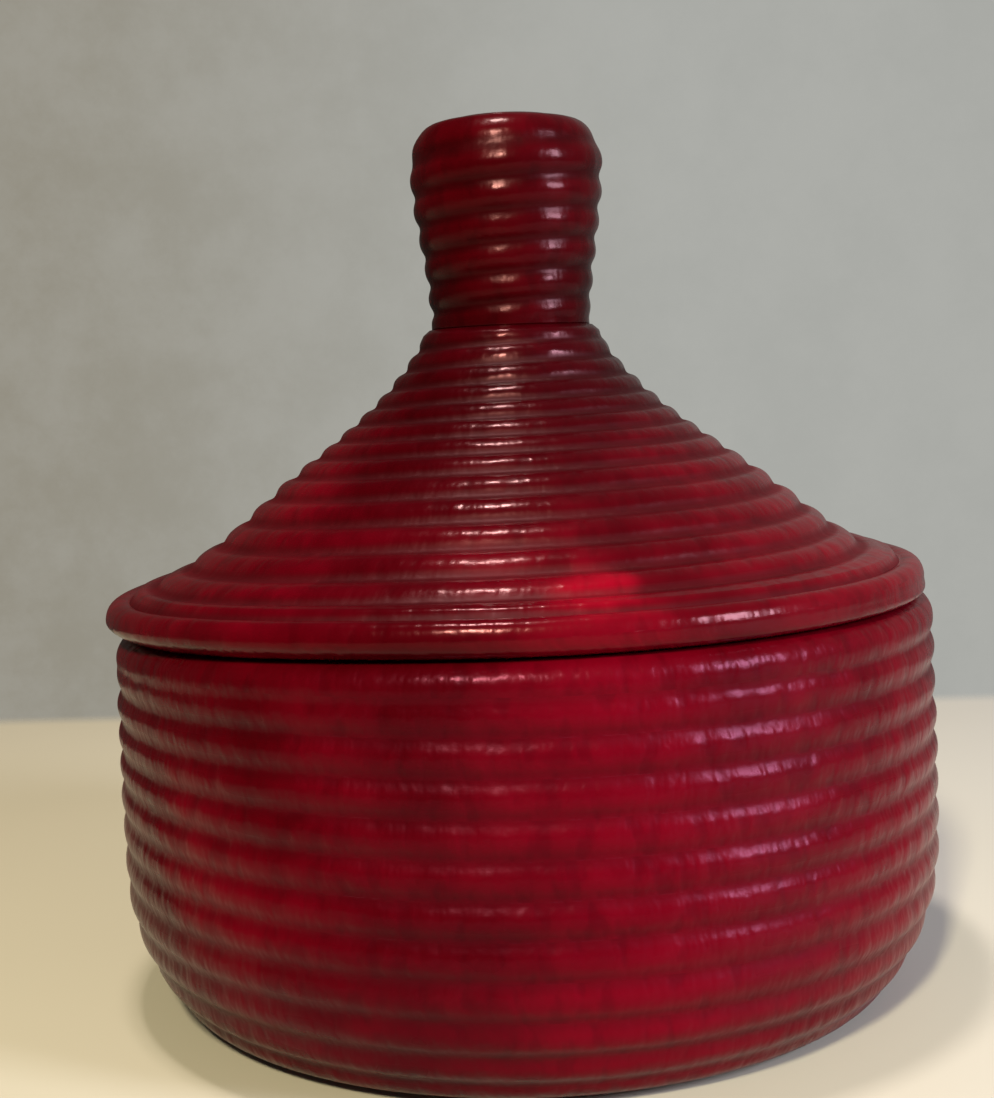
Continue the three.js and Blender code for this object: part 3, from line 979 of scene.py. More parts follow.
class Graph:
    """A node tree, built with short calls that return output sockets."""

    def __init__(self, tree: bpy.types.NodeTree) -> None:
        """Starts with an emptied tree."""
        self.tree = tree
        self.tree.nodes.clear()

    def node(self, kind: str, **settings: object) -> bpy.types.Node:
        """Adds a node.

        Args:
            kind: the node's type.
            settings: its properties.

        Returns:
            The node.
        """
        made = self.tree.nodes.new(kind)
        for key, value in settings.items():
            setattr(made, key, value)
        return made

    def wire(self, value: Value, socket: Socket) -> None:
        """Links an output to an input, or sets the input to a number or an opaque colour.

        Args:
            value: the output, number or colour.
            socket: the input.
        """
        if isinstance(value, Socket):
            self.tree.links.new(value, socket)
        else:
            socket.default_value = (*value, 1.0) if isinstance(value, tuple) else value

    def made(self, node: bpy.types.Node, inputs: dict[int | str, Value], output: int) -> Socket:
        """Wires a node's inputs.

        Args:
            node: the node.
            inputs: a value for each input, by its number or name.
            output: number of the output.

        Returns:
            The output.
        """
        for key, value in inputs.items():
            self.wire(value, node.inputs[key])
        return node.outputs[output]

    def math(self, operation: str, first: Value, second: Value = 0.0) -> Socket:
        """One step of arithmetic."""
        return self.made(self.node("ShaderNodeMath", operation=operation), {0: first, 1: second}, 0)

    def add(self, first: Value, second: Value) -> Socket:
        """A sum."""
        return self.math("ADD", first, second)

    def minus(self, first: Value, second: Value) -> Socket:
        """A difference."""
        return self.math("SUBTRACT", first, second)

    def times(self, first: Value, second: Value) -> Socket:
        """A product."""
        return self.math("MULTIPLY", first, second)

    def span(
        self, value: Value, low: float, high: float, out_low: float = 0.0, out_high: float = 1.0
    ) -> Socket:
        """Maps the range from low to high to another with a smooth step."""
        node = self.node("ShaderNodeMapRange", interpolation_type="SMOOTHSTEP")
        return self.made(node, dict(enumerate((value, low, high, out_low, out_high))), 0)

    def joined(self, x: Value, y: Value, z: Value = 0.0) -> Socket:
        """A vector from three numbers."""
        return self.made(self.node("ShaderNodeCombineXYZ"), {0: x, 1: y, 2: z}, 0)

    def axes(self, vector: Socket) -> tuple[Socket, Socket, Socket]:
        """The three numbers of a vector."""
        node = self.node("ShaderNodeSeparateXYZ")
        return self.made(node, {0: vector}, 0), node.outputs[1], node.outputs[2]

    def stretched(self, vector: Socket, scale: Triple, shift: Triple = (0.0, 0.0, 0.0)) -> Socket:
        """A vector times a scale on each axis, then shifted.

        Args:
            vector: the vector.
            scale: factor on each axis.
            shift: shift on each axis.

        Returns:
            The new vector.
        """
        node = self.node("ShaderNodeMapping")
        node.inputs["Scale"].default_value = scale
        node.inputs["Location"].default_value = shift
        return self.made(node, {"Vector": vector}, 0)

    def noise(
        self, vector: Socket, scale: float, detail: float = 2.0, rough: float = 0.5
    ) -> Socket:
        """Fractal noise, about 0 to 1. Its scale is in features for each unit of the vector."""
        inputs = {"Vector": vector, "Scale": scale, "Detail": detail, "Roughness": rough}
        return self.made(self.node("ShaderNodeTexNoise"), inputs, 0)

    def blend(self, share: Value, first: Value, second: Value, kind: str = "MIX") -> Socket:
        """A mix of two colours."""
        node = self.node("ShaderNodeMix", data_type="RGBA", blend_type=kind)
        return self.made(node, {0: share, 6: first, 7: second}, 2)

    def dimmed(self, colour: Value, share: Value) -> Socket:
        """A colour times a number."""
        return self.blend(1.0, colour, self.joined(share, share, share), "MULTIPLY")

    def bump(
        self, height: Value, distance: float, strength: float, under: Socket | None = None
    ) -> Socket:
        """A normal bent by a height, on top of another bump if one is given.

        Args:
            height: the height, 0 to 1.
            distance: what a height of 1 stands for, in metres.
            strength: how strongly it bends the normal, 0 to 1.
            under: the bump below.

        Returns:
            The normal.
        """
        inputs = {"Distance": distance, "Strength": strength, "Height": height}
        if under is not None:
            inputs["Normal"] = under
        return self.made(self.node("ShaderNodeBump"), inputs, 0)

    def place(self) -> Socket:
        """Object coordinates."""
        return self.node("ShaderNodeTexCoord").outputs["Object"]

    def attribute(self, name: str) -> Socket:
        """A number kept on the mesh's points."""
        return self.node("ShaderNodeAttribute", attribute_name=name).outputs["Fac"]

    def pattern(self) -> tuple[Socket, Socket]:
        """The two coordinates of the piece's own pattern map."""
        return self.axes(self.node("ShaderNodeUVMap", uv_map=PATTERN_MAP).outputs[0])[:2]


class Surface(Graph):
    """The node tree of a new material, which ends in a Principled BSDF."""

    def __init__(self, name: str) -> None:
        """Makes the material with its last two nodes.

        Args:
            name: the material's name.
        """
        self.material = bpy.data.materials.new(name)
        self.material.use_nodes = True
        super().__init__(self.material.node_tree)
        self.shader = self.node("ShaderNodeBsdfPrincipled")
        output = self.node("ShaderNodeOutputMaterial")
        self.wire(self.shader.outputs["BSDF"], output.inputs["Surface"])

    def finished(self, **inputs: Value) -> bpy.types.Material:
        """Wires the shader's inputs, with a space in a name written as an underscore.

        Args:
            inputs: a value for each input.

        Returns:
            The material.
        """
        for name, value in inputs.items():
            self.wire(value, self.shader.inputs[name.replace("_", " ")])
        return self.material


@dataclass(frozen=True)
class PolishedLeather:
    """Red leather, dyed, moulded over ribs and polished.

    The dye is darkest in the grooves, where dye collects and painted shade deepens it, and thins on
    the crests. Fine creases run across the ribs, where the leather was pressed over the bound
    strand, and dye with painted shade darkens their hollows.

    Attributes:
        kind: which leather it is.
        deep: dye of the darker patches.
        bright: dye where it is freshest.
        groove: colour in the grooves and the creases' hollows: dye that collects there, with
            painted shade.
        patch_red: colour of the brighter red patch.
        creases: creases for one turn round the axis, at row zero.
        more_creases: how many more each row has, on a cone.
        darkens_from: height in metres where the dye starts to darken.
        darkens_to: height where it is darkest.
        darkest: share of the dye's brightness left there.
        groove_dye_and_shade: how strongly the grooves are darker, by collected dye and painted
            shade, 0 to 1.
        crease_dye_and_shade: how strongly the creases' hollows are darker, by dye and painted
            shade.
        smooth: roughness where it is polished most.
        rough: roughness where it is polished least.
        groove_rough: how much rougher it is in the grooves.
        gloss: specular level.
        mirrors: tint of what the polish mirrors.
        dented: how strongly shallow dents bend the surface.
        creased: how strongly the creases do.
        grained: how strongly the grain does.
        patch: middle of a brighter red patch, in metres, if it has one.
        patch_size: how far that patch reaches on each axis, in metres.
        patch_strength: share of the patch's red at its middle.
        patch_fades: where it starts to fade and where it ends, in shares of its size.
        patch_ragged: how ragged its edge is, in shares of its size.
    """

    kind: Leather
    deep: Colour = (0.04, 0.0001, 0.0014)
    bright: Colour = (0.103, 0.0002, 0.0044)
    groove: Colour = (0.014, 0.0001, 0.0006)
    patch_red: Colour = (0.31, 0.0008, 0.012)
    creases: float = 250.0
    more_creases: float = 0.0
    darkens_from: float = 1.0
    darkens_to: float = 1.1
    darkest: float = 1.0
    groove_dye_and_shade: float = 0.2
    crease_dye_and_shade: float = 0.24
    smooth: float = 0.24
    rough: float = 0.34
    groove_rough: float = 0.1
    gloss: float = 0.135
    mirrors: Colour = (1.0, 0.28, 0.52)
    dented: float = 0.3
    creased: float = 0.42
    grained: float = 0.2
    patch: Triple | None = None
    patch_size: Triple = (0.009, 0.014, 0.0035)
    patch_strength: float = 0.36
    patch_fades: Pair = (0.1, 1.4)
    patch_ragged: float = 0.5

    def build(self) -> bpy.types.Material:
        """Makes the node tree.

        Returns:
            The material.
        """
        g = Surface(self.kind.value)
        place = g.place()
        crease = self.crease(g)
        blotch = g.noise(place, BLOTCHES, detail=3.0, rough=0.6)
        # How deep in a groove: darkens the colour as collected dye and painted shade, and roughens
        # it
        in_groove = g.span(g.attribute(HOLLOW), *GROOVE_RANGE)
        polish = g.span(blotch, *POLISH_RANGE, self.smooth, self.rough)
        bent = g.bump(g.noise(place, DENTS), DENT_HEIGHT, self.dented)
        bent = g.bump(crease, CREASE_HEIGHT, self.creased, bent)
        bent = g.bump(g.noise(place, GRAIN, rough=0.6), GRAIN_HEIGHT, self.grained, bent)
        return g.finished(
            Base_Color=self.dye(g, place, blotch, in_groove, crease),
            Roughness=g.add(polish, g.times(in_groove, self.groove_rough)),
            Normal=bent,
            Specular_IOR_Level=self.gloss,
            Specular_Tint=self.mirrors,
        )

    def crease(self, g: Graph) -> Socket:
        """Creases: noise on the winding's own coordinates, drawn out across the ribs.

        Args:
            g: the material's tree.

        Returns:
            Height of the creased surface, 0 to 1.
        """
        turn, row = g.pattern()
        crest = g.math("FLOOR", g.add(row, 0.5))
        phase = g.minus(row, crest)
        cycles = g.add(self.creases, g.times(crest, self.more_creases))
        fine = g.times(g.add(turn, crest), cycles)
        across = g.add(g.times(phase, CREASE_CHANGE), g.times(crest, CREASE_SHIFT))
        return g.span(g.noise(g.joined(fine, across), CREASE_SCALE), *CREASE_RANGE)

    def dye(
        self, g: Graph, place: Socket, blotch: Socket, in_groove: Socket, crease: Socket
    ) -> Socket:
        """Colour of the dye: two tones in patches, darker in grooves and creases by dye and painted
        shade, and high up.

        Args:
            g: the material's tree.
            place: object coordinates.
            blotch: blotches, 0 to 1.
            in_groove: how deep in a groove, 0 to 1, which sets the grooves' dye and painted shade.
            crease: height of the creased surface, 0 to 1.

        Returns:
            The colour.
        """
        patches = g.times(g.add(blotch, g.noise(place, BROAD_TONES, detail=1.0)), 0.5)
        dye = g.blend(g.span(patches, *TONE_RANGE), self.deep, self.bright)
        if self.patch:
            dye = g.blend(self.patch_share(g, place, blotch), dye, self.patch_red)
        # Dye collects in the grooves, and painted shade deepens it there
        dye = g.blend(g.times(in_groove, self.groove_dye_and_shade), dye, self.groove)
        # The creases' hollows are darker, by dye and painted shade
        crease_darkening = g.span(crease, *STREAK_RANGE, self.crease_dye_and_shade, 0.0)
        dye = g.blend(crease_darkening, dye, self.groove)
        height = g.axes(place)[2]
        return g.dimmed(dye, g.span(height, self.darkens_from, self.darkens_to, 1.0, self.darkest))

    def patch_share(self, g: Graph, place: Socket, blotch: Socket) -> Socket:
        """How fresh the dye is round the patch: falls off with distance, broken up by blotches.

        Args:
            g: the material's tree.
            place: object coordinates.
            blotch: blotches, 0 to 1.

        Returns:
            Share of the patch's red.
        """
        scale = tuple(1 / size for size in self.patch_size)
        away = g.stretched(place, scale, tuple(-c * s for c, s in zip(self.patch, scale)))
        distance = g.node("ShaderNodeVectorMath", operation="LENGTH")
        g.wire(away, distance.inputs[0])
        ragged = g.span(blotch, 0.3, 0.7, self.patch_ragged, -self.patch_ragged)
        away = g.add(distance.outputs["Value"], ragged)
        return g.span(away, *self.patch_fades, self.patch_strength, 0.0)


@dataclass(frozen=True)
class SoleLeather:
    """Plain matt leather of the disc under the floor.

    Attributes:
        kind: which leather it is.
        colour: its dye.
        scuffed: its colour where it is scuffed.
    """

    kind: Leather = Leather.SOLE
    colour: Colour = (0.1, 0.012, 0.012)
    scuffed: Colour = (0.19, 0.06, 0.045)

    def build(self) -> bpy.types.Material:
        """Makes the node tree.

        Returns:
            The material.
        """
        g = Surface(self.kind.value)
        place = g.place()
        cloud = g.noise(place, 60.0, detail=4.0, rough=0.65)
        return g.finished(
            Base_Color=g.blend(g.span(cloud, 0.45, 0.75), self.colour, self.scuffed),
            Roughness=g.span(cloud, 0.3, 0.7, 0.55, 0.75),
            Normal=g.bump(g.noise(place, 1300.0), 0.0001, 0.35),
        )


@dataclass(frozen=True)
class BoundCane:
    """Natural wicker bound with split cane: each wrap has its own tone and its own fibres.

    Attributes:
        name: the material's name.
        pale: colour of the palest cane.
        tan: colour of the darkest.
        gap: painted shade in the crevice between two wraps.
        gap_shade: how strongly that painted shade shows, 0 to 1.
        gap_range: distance from a wrap's middle where the gap starts and ends, in wraps.
        fibres: fibres for each wrap and for once round the strand.
        wrap_tone: how much of the tone goes by the wrap.
        fibre_tone: how much of it goes by the fibre.
    """

    name: str = "bound_cane"
    pale: Colour = (0.55, 0.37, 0.18)
    tan: Colour = (0.3, 0.17, 0.07)
    gap: Colour = (0.05, 0.025, 0.01)
    gap_shade: float = 0.85
    gap_range: Pair = (0.4, 0.5)
    fibres: Pair = (9.0, 2.0)
    wrap_tone: float = 0.55
    fibre_tone: float = 0.6

    def build(self) -> bpy.types.Material:
        """Makes the node tree.

        Returns:
            The material.
        """
        g = Surface(self.name)
        count, side = g.pattern()
        wrap = g.math("FLOOR", count)
        own = g.node("ShaderNodeTexWhiteNoise", noise_dimensions="1D")
        g.wire(wrap, own.inputs["W"])
        stretched = g.joined(g.times(count, self.fibres[0]), g.times(side, self.fibres[1]))
        fibre = g.noise(stretched, 1.0, detail=3.0, rough=0.6)
        own_tone = g.times(own.outputs["Value"], self.wrap_tone)
        tone = g.add(own_tone, g.times(fibre, self.fibre_tone))
        colour = g.blend(g.span(tone, 0.2, 0.95), self.tan, self.pale)
        # Painted shade in the crevice between two wraps
        from_middle = g.math("ABSOLUTE", g.minus(g.minus(count, wrap), 0.5))
        between = g.span(from_middle, *self.gap_range)
        return g.finished(
            Base_Color=g.blend(g.times(between, self.gap_shade), colour, self.gap),
            Roughness=g.span(fibre, 0.2, 0.8, 0.42, 0.62),
            Normal=g.bump(g.minus(g.times(fibre, 0.25), between), 0.0004, 0.6),
        )


@dataclass(frozen=True)
class CaneBundle:
    """Raw cane bundled side by side, seen from its sides and its cut ends.

    Attributes:
        name: the material's name.
        cane: colour of the cane.
        gap: painted shade in its pores and between two canes.
        lengthwise: scale on each axis, smallest along the canes.
        canes: canes for each metre across.
        roughness: its roughness.
    """

    name: str = "cane_bundle"
    cane: Colour = (0.42, 0.27, 0.12)
    gap: Colour = (0.06, 0.03, 0.012)
    lengthwise: Triple = (1.0, 1.0, 0.04)
    canes: float = 330.0
    roughness: float = 0.72

    def build(self) -> bpy.types.Material:
        """Makes the node tree.

        Returns:
            The material.
        """
        g = Surface(self.name)
        place = g.place()
        cells = g.node("ShaderNodeTexVoronoi", feature="DISTANCE_TO_EDGE")
        inputs = {"Vector": g.stretched(place, self.lengthwise), "Scale": self.canes}
        # Painted shade between the canes and in the pores
        between = g.span(g.made(cells, inputs, 0), 0.02, 0.16, 1.0, 0.0)
        pores = g.span(g.noise(place, 2500.0), 0.35, 0.6, 0.5, 0.0)
        return g.finished(
            Base_Color=g.blend(between, g.blend(pores, self.cane, self.gap), self.gap),
            Roughness=self.roughness,
            Normal=g.bump(g.minus(1.0, between), 0.0006, 0.7),
        )


@dataclass(frozen=True)
class WaxedThread:
    """Twisted, waxed sewing thread.

    Attributes:
        name: the material's name.
        colour: its dye.
        twist_shade: painted shade in the twist's hollows.
        roughness: its roughness.
    """

    name: str = "waxed_thread"
    colour: Colour = (0.16, 0.02, 0.02)
    twist_shade: Colour = (0.05, 0.006, 0.006)
    roughness: float = 0.55

    def build(self) -> bpy.types.Material:
        """Makes the node tree.

        Returns:
            The material.
        """
        g = Surface(self.name)
        twist = g.noise(g.place(), 2600.0, detail=1.0)
        return g.finished(
            # Painted shade in the twist's hollows
            Base_Color=g.blend(g.span(twist, 0.4, 0.65, 0.0, 0.5), self.colour, self.twist_shade),
            Roughness=self.roughness,
            Normal=g.bump(twist, 0.0001, 0.4),
        )


@dataclass(frozen=True)
class Finishes:
    """The basket's materials, each made once.

    Attributes:
        drum: leather of the drum.
        lid: leather of the cone.
        knob: leather of the knob and its cap.
        sole: leather of the disc under the floor.
        cane: bound wicker.
        bundle: raw cane of the peg.
        thread: sewing thread.
    """

    drum: bpy.types.Material
    lid: bpy.types.Material
    knob: bpy.types.Material
    sole: bpy.types.Material
    cane: bpy.types.Material
    bundle: bpy.types.Material
    thread: bpy.types.Material

    @classmethod
    def build(cls) -> "Finishes":
        """Makes them all.

        Returns:
            The set of materials.
        """
        lid = PolishedLeather(
            Leather.LID,
            deep=(0.036, 0.0001, 0.0014),
            bright=(0.108, 0.0002, 0.0046),
            creases=50.0,
            more_creases=13.0,
            darkens_from=0.1,
            darkens_to=0.145,
            darkest=0.42,
            groove_dye_and_shade=0.45,
            smooth=0.17,
            rough=0.26,
            groove_rough=0.28,
            gloss=0.17,
            mirrors=(1.0, 0.42, 0.48),
            dented=0.18,
            creased=0.28,
            patch=(0.014, -0.079, 0.0955),
        )
        knob = PolishedLeather(
            Leather.KNOB,
            deep=(0.0115, 0.0001, 0.0004),
            bright=(0.046, 0.0002, 0.0017),
            groove=(0.005, 0.0002, 0.0003),
            creases=54.0,
            groove_dye_and_shade=0.45,
            smooth=0.16,
            rough=0.24,
            gloss=0.11,
            mirrors=(1.0, 0.46, 0.52),
            dented=0.2,
            creased=0.15,
        )
        drum = PolishedLeather(Leather.DRUM)
        makers = (drum, lid, knob, SoleLeather(), BoundCane(), CaneBundle(), WaxedThread())
        return cls(*(maker.build() for maker in makers))


def dress(
    obj: bpy.types.Object, finish: bpy.types.Material, body: str, slot: str, *nodes: str
) -> None:
    """Gives a piece its finish, its body and the frame's nodes that it stands for.

    Args:
        obj: the piece.
        finish: its material.
        body: the body that it moves with.
        slot: the record's material slot; not used.
        nodes: nodes of the frame that it replaces.
    """
    obj.data.materials.clear()
    obj.data.materials.append(finish)
    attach(obj, body)
    if nodes:
        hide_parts(*nodes)
    log.info("%s rides on %s, %d faces", obj.name, body, len(obj.data.polygons))


# The basket


@dataclass
class Drum:
    """The basket's body: floor, wall, its leather and the leather disc under it.

    Attributes:
        body: the body that its pieces ride on.
        foot_radius: outside radius of the foot.
        belly_height: height where the wall is widest.
        foot_roundness: power by which the wall draws in to the foot.
        start_turn: turn at which the wall's strand begins.
        floor_eye: place on the floor where its strand begins.
        rib_depth: depth of the leather's grooves.
        sharpness: how much sharper they are than the crests.
        foot_turn_in: leather turned in under the foot.
        rim_turn_down: leather turned down inside the rim.
        stitches: number of stitches inside the rim.
        stitch_margin: how far they are from the hem's edge.
        sole_margin: how far the disc's edge is inside the foot's middle line.
        sole_edge: corners of the disc's edge, each (how far in, how high).
        columns: columns of the leather's mesh.
        seed: shifts the leather's unevenness.
    """

    body: str = "basket"
    foot_radius: float = 80.6
    belly_height: float = 36.0
    foot_roundness: float = 2.8
    start_turn: float = -0.03
    floor_eye: float = 5.0
    rib_depth: float = 0.8
    sharpness: float = 0.4
    foot_turn_in: float = 10.0
    rim_turn_down: float = 9.0
    stitches: int = 96
    stitch_margin: float = 2.2
    sole_margin: float = 2.0
    sole_edge: tuple[Pair, ...] = (
        (0.5, 0.0), (0.12, 0.12), (0.0, 0.45), (0.0, 0.8), (0.15, 1.1), (0.5, 1.2),
    )
    columns: int = 320
    seed: float = 0.13
    foot_level: float = field(init=False)
    line: RowLine = field(init=False)
    winding: Winding = field(init=False)

    def __post_init__(self) -> None:
        """Lays out the wall's line and winding."""
        self.foot_level = SOLE_LEATHER + SEAM_GAP + BODY_SKIN
        self.line = self.wall_line()
        spacing = Spacing(self.line.length, BODY_PITCH)
        cane = even_cane(BODY_CANE)
        self.winding = Winding(self.line, spacing, self.start_turn, cane, 0.0, self.line.length)

    def wall_line(self) -> RowLine:
        """Middle line of the wall rows from foot to rim.

        The radius falls off the belly by a power law towards the foot and by a parabola to the
        mouth.

        Returns:
            The line.
        """
        foot_level, rim_level = self.foot_level, BODY_HEIGHT - BODY_SKIN
        height = np.linspace(foot_level, rim_level, LINE_SAMPLES)
        below = np.maximum(0, (self.belly_height - height) / (self.belly_height - foot_level))
        above = np.maximum(0, (height - self.belly_height) / (rim_level - self.belly_height))
        foot_draw = (BELLY_RADIUS - self.foot_radius) * below**self.foot_roundness
        mouth_draw = (BELLY_RADIUS - MOUTH_RADIUS) * above**2
        radius = BELLY_RADIUS - BODY_SKIN - foot_draw - mouth_draw
        return RowLine(np.stack([radius, height], -1), 1)

    def cover_section(self, inset: float, rows_per_rib: int) -> Section:
        """The leather's section: turned in under the foot, up the wall, over the rim and down.

        Args:
            inset: how far the section lies inside the leather's outer side.
            rows_per_rib: stations for each rib.

        Returns:
            The section.
        """
        length = self.line.length
        foot, rim = self.line.point(0.0), self.line.point(length)
        low, high = self.line.normal_angle(0.0), self.line.normal_angle(length)
        skin = BODY_SKIN - inset
        under, inside = foot[1] - skin, rim[0] - skin
        foot_place = -(math.pi / 2 + low) * skin - self.foot_turn_in
        rim_place = length + (math.pi - high) * skin
        places = spaced(0.0, length, BODY_PITCH / rows_per_rib)
        foot_hem = (foot[0] - self.foot_turn_in, under), (foot[0] - HEM_START, under)
        rim_hem = (inside, rim[1] - HEM_START), (inside, rim[1] - self.rim_turn_down)
        return Section.joined([
            Section.hem(*foot_hem, (0, -1), foot_place),
            Section.arc(foot, skin, (-math.pi / 2, low), 0.0, -1),
            Section.along(self.line, places, skin, BODY_PITCH * RIB_FADE),
            Section.arc(rim, skin, (high, math.pi), length, 1),
            Section.hem(*rim_hem, (-1, 0), rim_place),
        ])

    def floor_rows(self) -> BoundStrand:
        """The floor's strand, wound from the middle out to the wall's first row.

        Returns:
            The strand.
        """
        edge = self.line.point(0.0)[0] - BODY_CANE / 2 - ROW_GAP
        line = straight_line((0.0, self.foot_level), (edge, self.foot_level), 1)
        spacing = Spacing(self.floor_eye, BODY_PITCH)
        high = edge - BODY_CANE / 2
        winding = Winding(line, spacing, 0.0, even_cane(BODY_CANE), self.floor_eye, high)
        return BoundStrand("floor_rows", winding)

    def build(self, finishes: Finishes) -> None:
        """Makes and dresses the body's pieces.

        Args:
            finishes: the basket's materials.
        """
        foot, rim = self.line.point(0.0), self.line.point(self.line.length)
        cover = MouldedSkin(
            "drum_cover", self.winding, self.cover_section,
            self.rib_depth, self.sharpness, self.columns, self.seed,
        )
        sole = TurnedDisc(
            "sole", foot[0] - self.sole_margin, 0.0, SOLE_LEATHER, self.sole_edge,
            eye=0.5, columns=128,
        )
        hem = RunningStitch(
            "rim_stitches", rim[0] - BODY_SKIN,
            rim[1] - self.rim_turn_down + self.stitch_margin, (-1.0, 0.0), self.stitches,
        )
        wall = BoundStrand("wall_rows", self.winding)
        for piece, finish, slot, *nodes in (
            (cover, finishes.drum, "red_leather", "body_cover"),
            (wall, finishes.cane, "wicker", "wall_coil"),
            (self.floor_rows(), finishes.cane, "wicker", "floor_coil"),
            (sole, finishes.sole, "base_leather", "base_leather"),
            (hem, finishes.thread, "red_leather"),
        ):
            dress(piece.build(), finish, self.body, slot, *nodes)


@dataclass
class Lid:
    """The lid under its knob: its cone of wicker, edge hoop, seat ring and leather.

    Attributes:
        body: the body that its pieces ride on.
        neck_slope: slope of the cone at the neck, in degrees, as the other slopes are.
        waist_radius: radius of the cone's waist.
        waist_rise: height of the waist over the edge.
        waist_slope: slope at the waist.
        brim_slope: slope at the edge.
        even_rows: rows of the cone that are evenly spaced.
        row_widening: by how much each later row is wider than the last.
        cane_share: share of that by which the strand is thicker.
        rib_depth: depth of the leather's grooves.
        sharpness: how much sharper they are than the crests.
        shoulder: how far from its ends the ribbed leather stops, in rows.
        groove_depth: depth of the level groove above the edge.
        groove_narrowness: power of the sine wave that the groove follows.
        groove_stations: stations across the groove, with its two ends.
        roll_start: how far before the line's end the edge's roll starts, in radians.
        turn_under: leather turned under the edge.
        hem_place: place of that hem past the line's end, for the pattern.
        stitches: number of stitches under the edge.
        stitch_margin: how far they are from the hem's edge.
        stitch_sink: how far they are pulled into the leather.
        seat_ring_rows: rows of the seat ring.
        seat_sides: sides of the solid mouth that the ring clears.
        seat_fullness: the ring's thickness over that of the frame's solid.
        play: gap between the seat ring and the mouth.
        columns: columns of the leather's mesh.
        seed: shifts the leather's unevenness.
    """

    body: str = "lid"
    neck_slope: float = 62.9
    waist_radius: float = 50.0
    waist_rise: float = 20.3
    waist_slope: float = 39.3
    brim_slope: float = 1.2
    even_rows: float = 6.0
    row_widening: float = 0.5
    cane_share: float = 0.35
    rib_depth: float = 0.7
    sharpness: float = 0.6
    shoulder: float = 0.3
    groove_depth: float = 0.6
    groove_narrowness: float = 1.5
    groove_stations: int = 9
    roll_start: float = math.pi / 5
    turn_under: float = 4.5
    hem_place: float = 9.0
    stitches: int = 92
    stitch_margin: float = 1.6
    stitch_sink: float = 0.05
    seat_ring_rows: int = 2
    seat_sides: int = 15
    seat_fullness: float = 1.13
    play: float = 1.0
    columns: int = 312
    seed: float = 0.71
    line: RowLine = field(init=False)
    spacing: Spacing = field(init=False)
    groove: float = field(init=False)
    winding: Winding = field(init=False)

    def __post_init__(self) -> None:
        """Lays out the cone's line and winding, which ends short of the level groove."""
        self.line = self.cone_line()
        self.spacing = Spacing(0.0, CONE_PITCH, self.even_rows, self.row_widening)
        self.groove = self.line.length - EDGE_CANE / 2 - ROW_GAP / 2
        end = self.groove - ROW_GAP / 2 - float(self.cane(self.groove)) / 2
        self.winding = Winding(self.line, self.spacing, CONE_START_TURN, self.cane, 0.0, end)

    def cone_line(self) -> RowLine:
        """Middle line of the cone rows: a curve from neck to waist and one on to the edge.

        Returns:
            The line.
        """
        neck = np.array([NECK_RADIUS, NECK_LEVEL])
        waist = np.array([self.waist_radius, LID_LEVEL + self.waist_rise])
        edge = np.array([MOUTH_RADIUS - EDGE_SKIN, LID_LEVEL])
        upper = sloped_curve(neck, self.neck_slope, waist, self.waist_slope)
        lower = sloped_curve(waist, self.waist_slope, edge, self.brim_slope)
        return RowLine(np.concatenate([upper, lower[1:]]), -1)

    def cane(self, place: np.ndarray) -> np.ndarray:
        """Thickness of the cone's strand, which grows where its rows are wider."""
        wider = self.spacing.pitch(self.spacing.rows(place)) - CONE_PITCH
        return CONE_CANE + self.cane_share * wider

    def skin(self, place: np.ndarray) -> np.ndarray:
        """Distance from the cone's row line out to its leather's outside."""
        return self.cane(place) / 2 + SKIN_FIT + LEATHER

    def lap_skin(self) -> float:
        """Distance from the row line to the leather's outside where the knob's sleeve laps it."""
        return float(self.skin(0.0)) - self.rib_depth

    def sleeve_foot(self) -> float:
        """Height at which the knob's sleeve ends, just over the lap."""
        return float(self.line.point(-NECK_LAP, self.lap_skin())[1]) + CLOSE_FIT

    def cover_section(self, inset: float, rows_per_rib: int) -> Section:
        """The leather's section: from the neck down the cone, round the edge and under it.

        Args:
            inset: how far the section lies inside the leather's outer side.
            rows_per_rib: stations for each rib.

        Returns:
            The section.
        """
        spacing, length = self.spacing, self.line.length
        low = CONE_PITCH * self.shoulder - NECK_LAP
        high = self.groove - float(spacing.pitch(spacing.rows(self.groove))) * self.shoulder
        rows = spacing.rows(np.array([low, high]))
        places = spacing.place(spaced(rows[0], rows[1], 1 / rows_per_rib))
        ribbed = Section.along(self.line, places, self.skin(places) - inset, CONE_PITCH * RIB_FADE)
        ribbed.rib *= spacing.pitch(spacing.rows(places)) / CONE_PITCH
        start = np.array([-NECK_LAP])
        neck, normal = self.line.frame_at(start)
        lapped = neck + normal * (self.lap_skin() - inset)
        edge, skin = self.line.point(length), EDGE_SKIN - inset
        roll = self.line.normal_angle(length) + self.roll_start
        under = edge[1] - skin
        hem = (edge[0] - HEM_START, under), (edge[0] - self.turn_under, under)
        return Section.joined([
            Section(lapped, normal, start, np.zeros(1), np.zeros(1)),
            ribbed,
            self.edge_dip(inset, high, roll),
            Section.arc(edge, skin, (roll, -math.pi / 2), length, 1),
            Section.hem(*hem, (0, -1), length + self.hem_place),
        ])

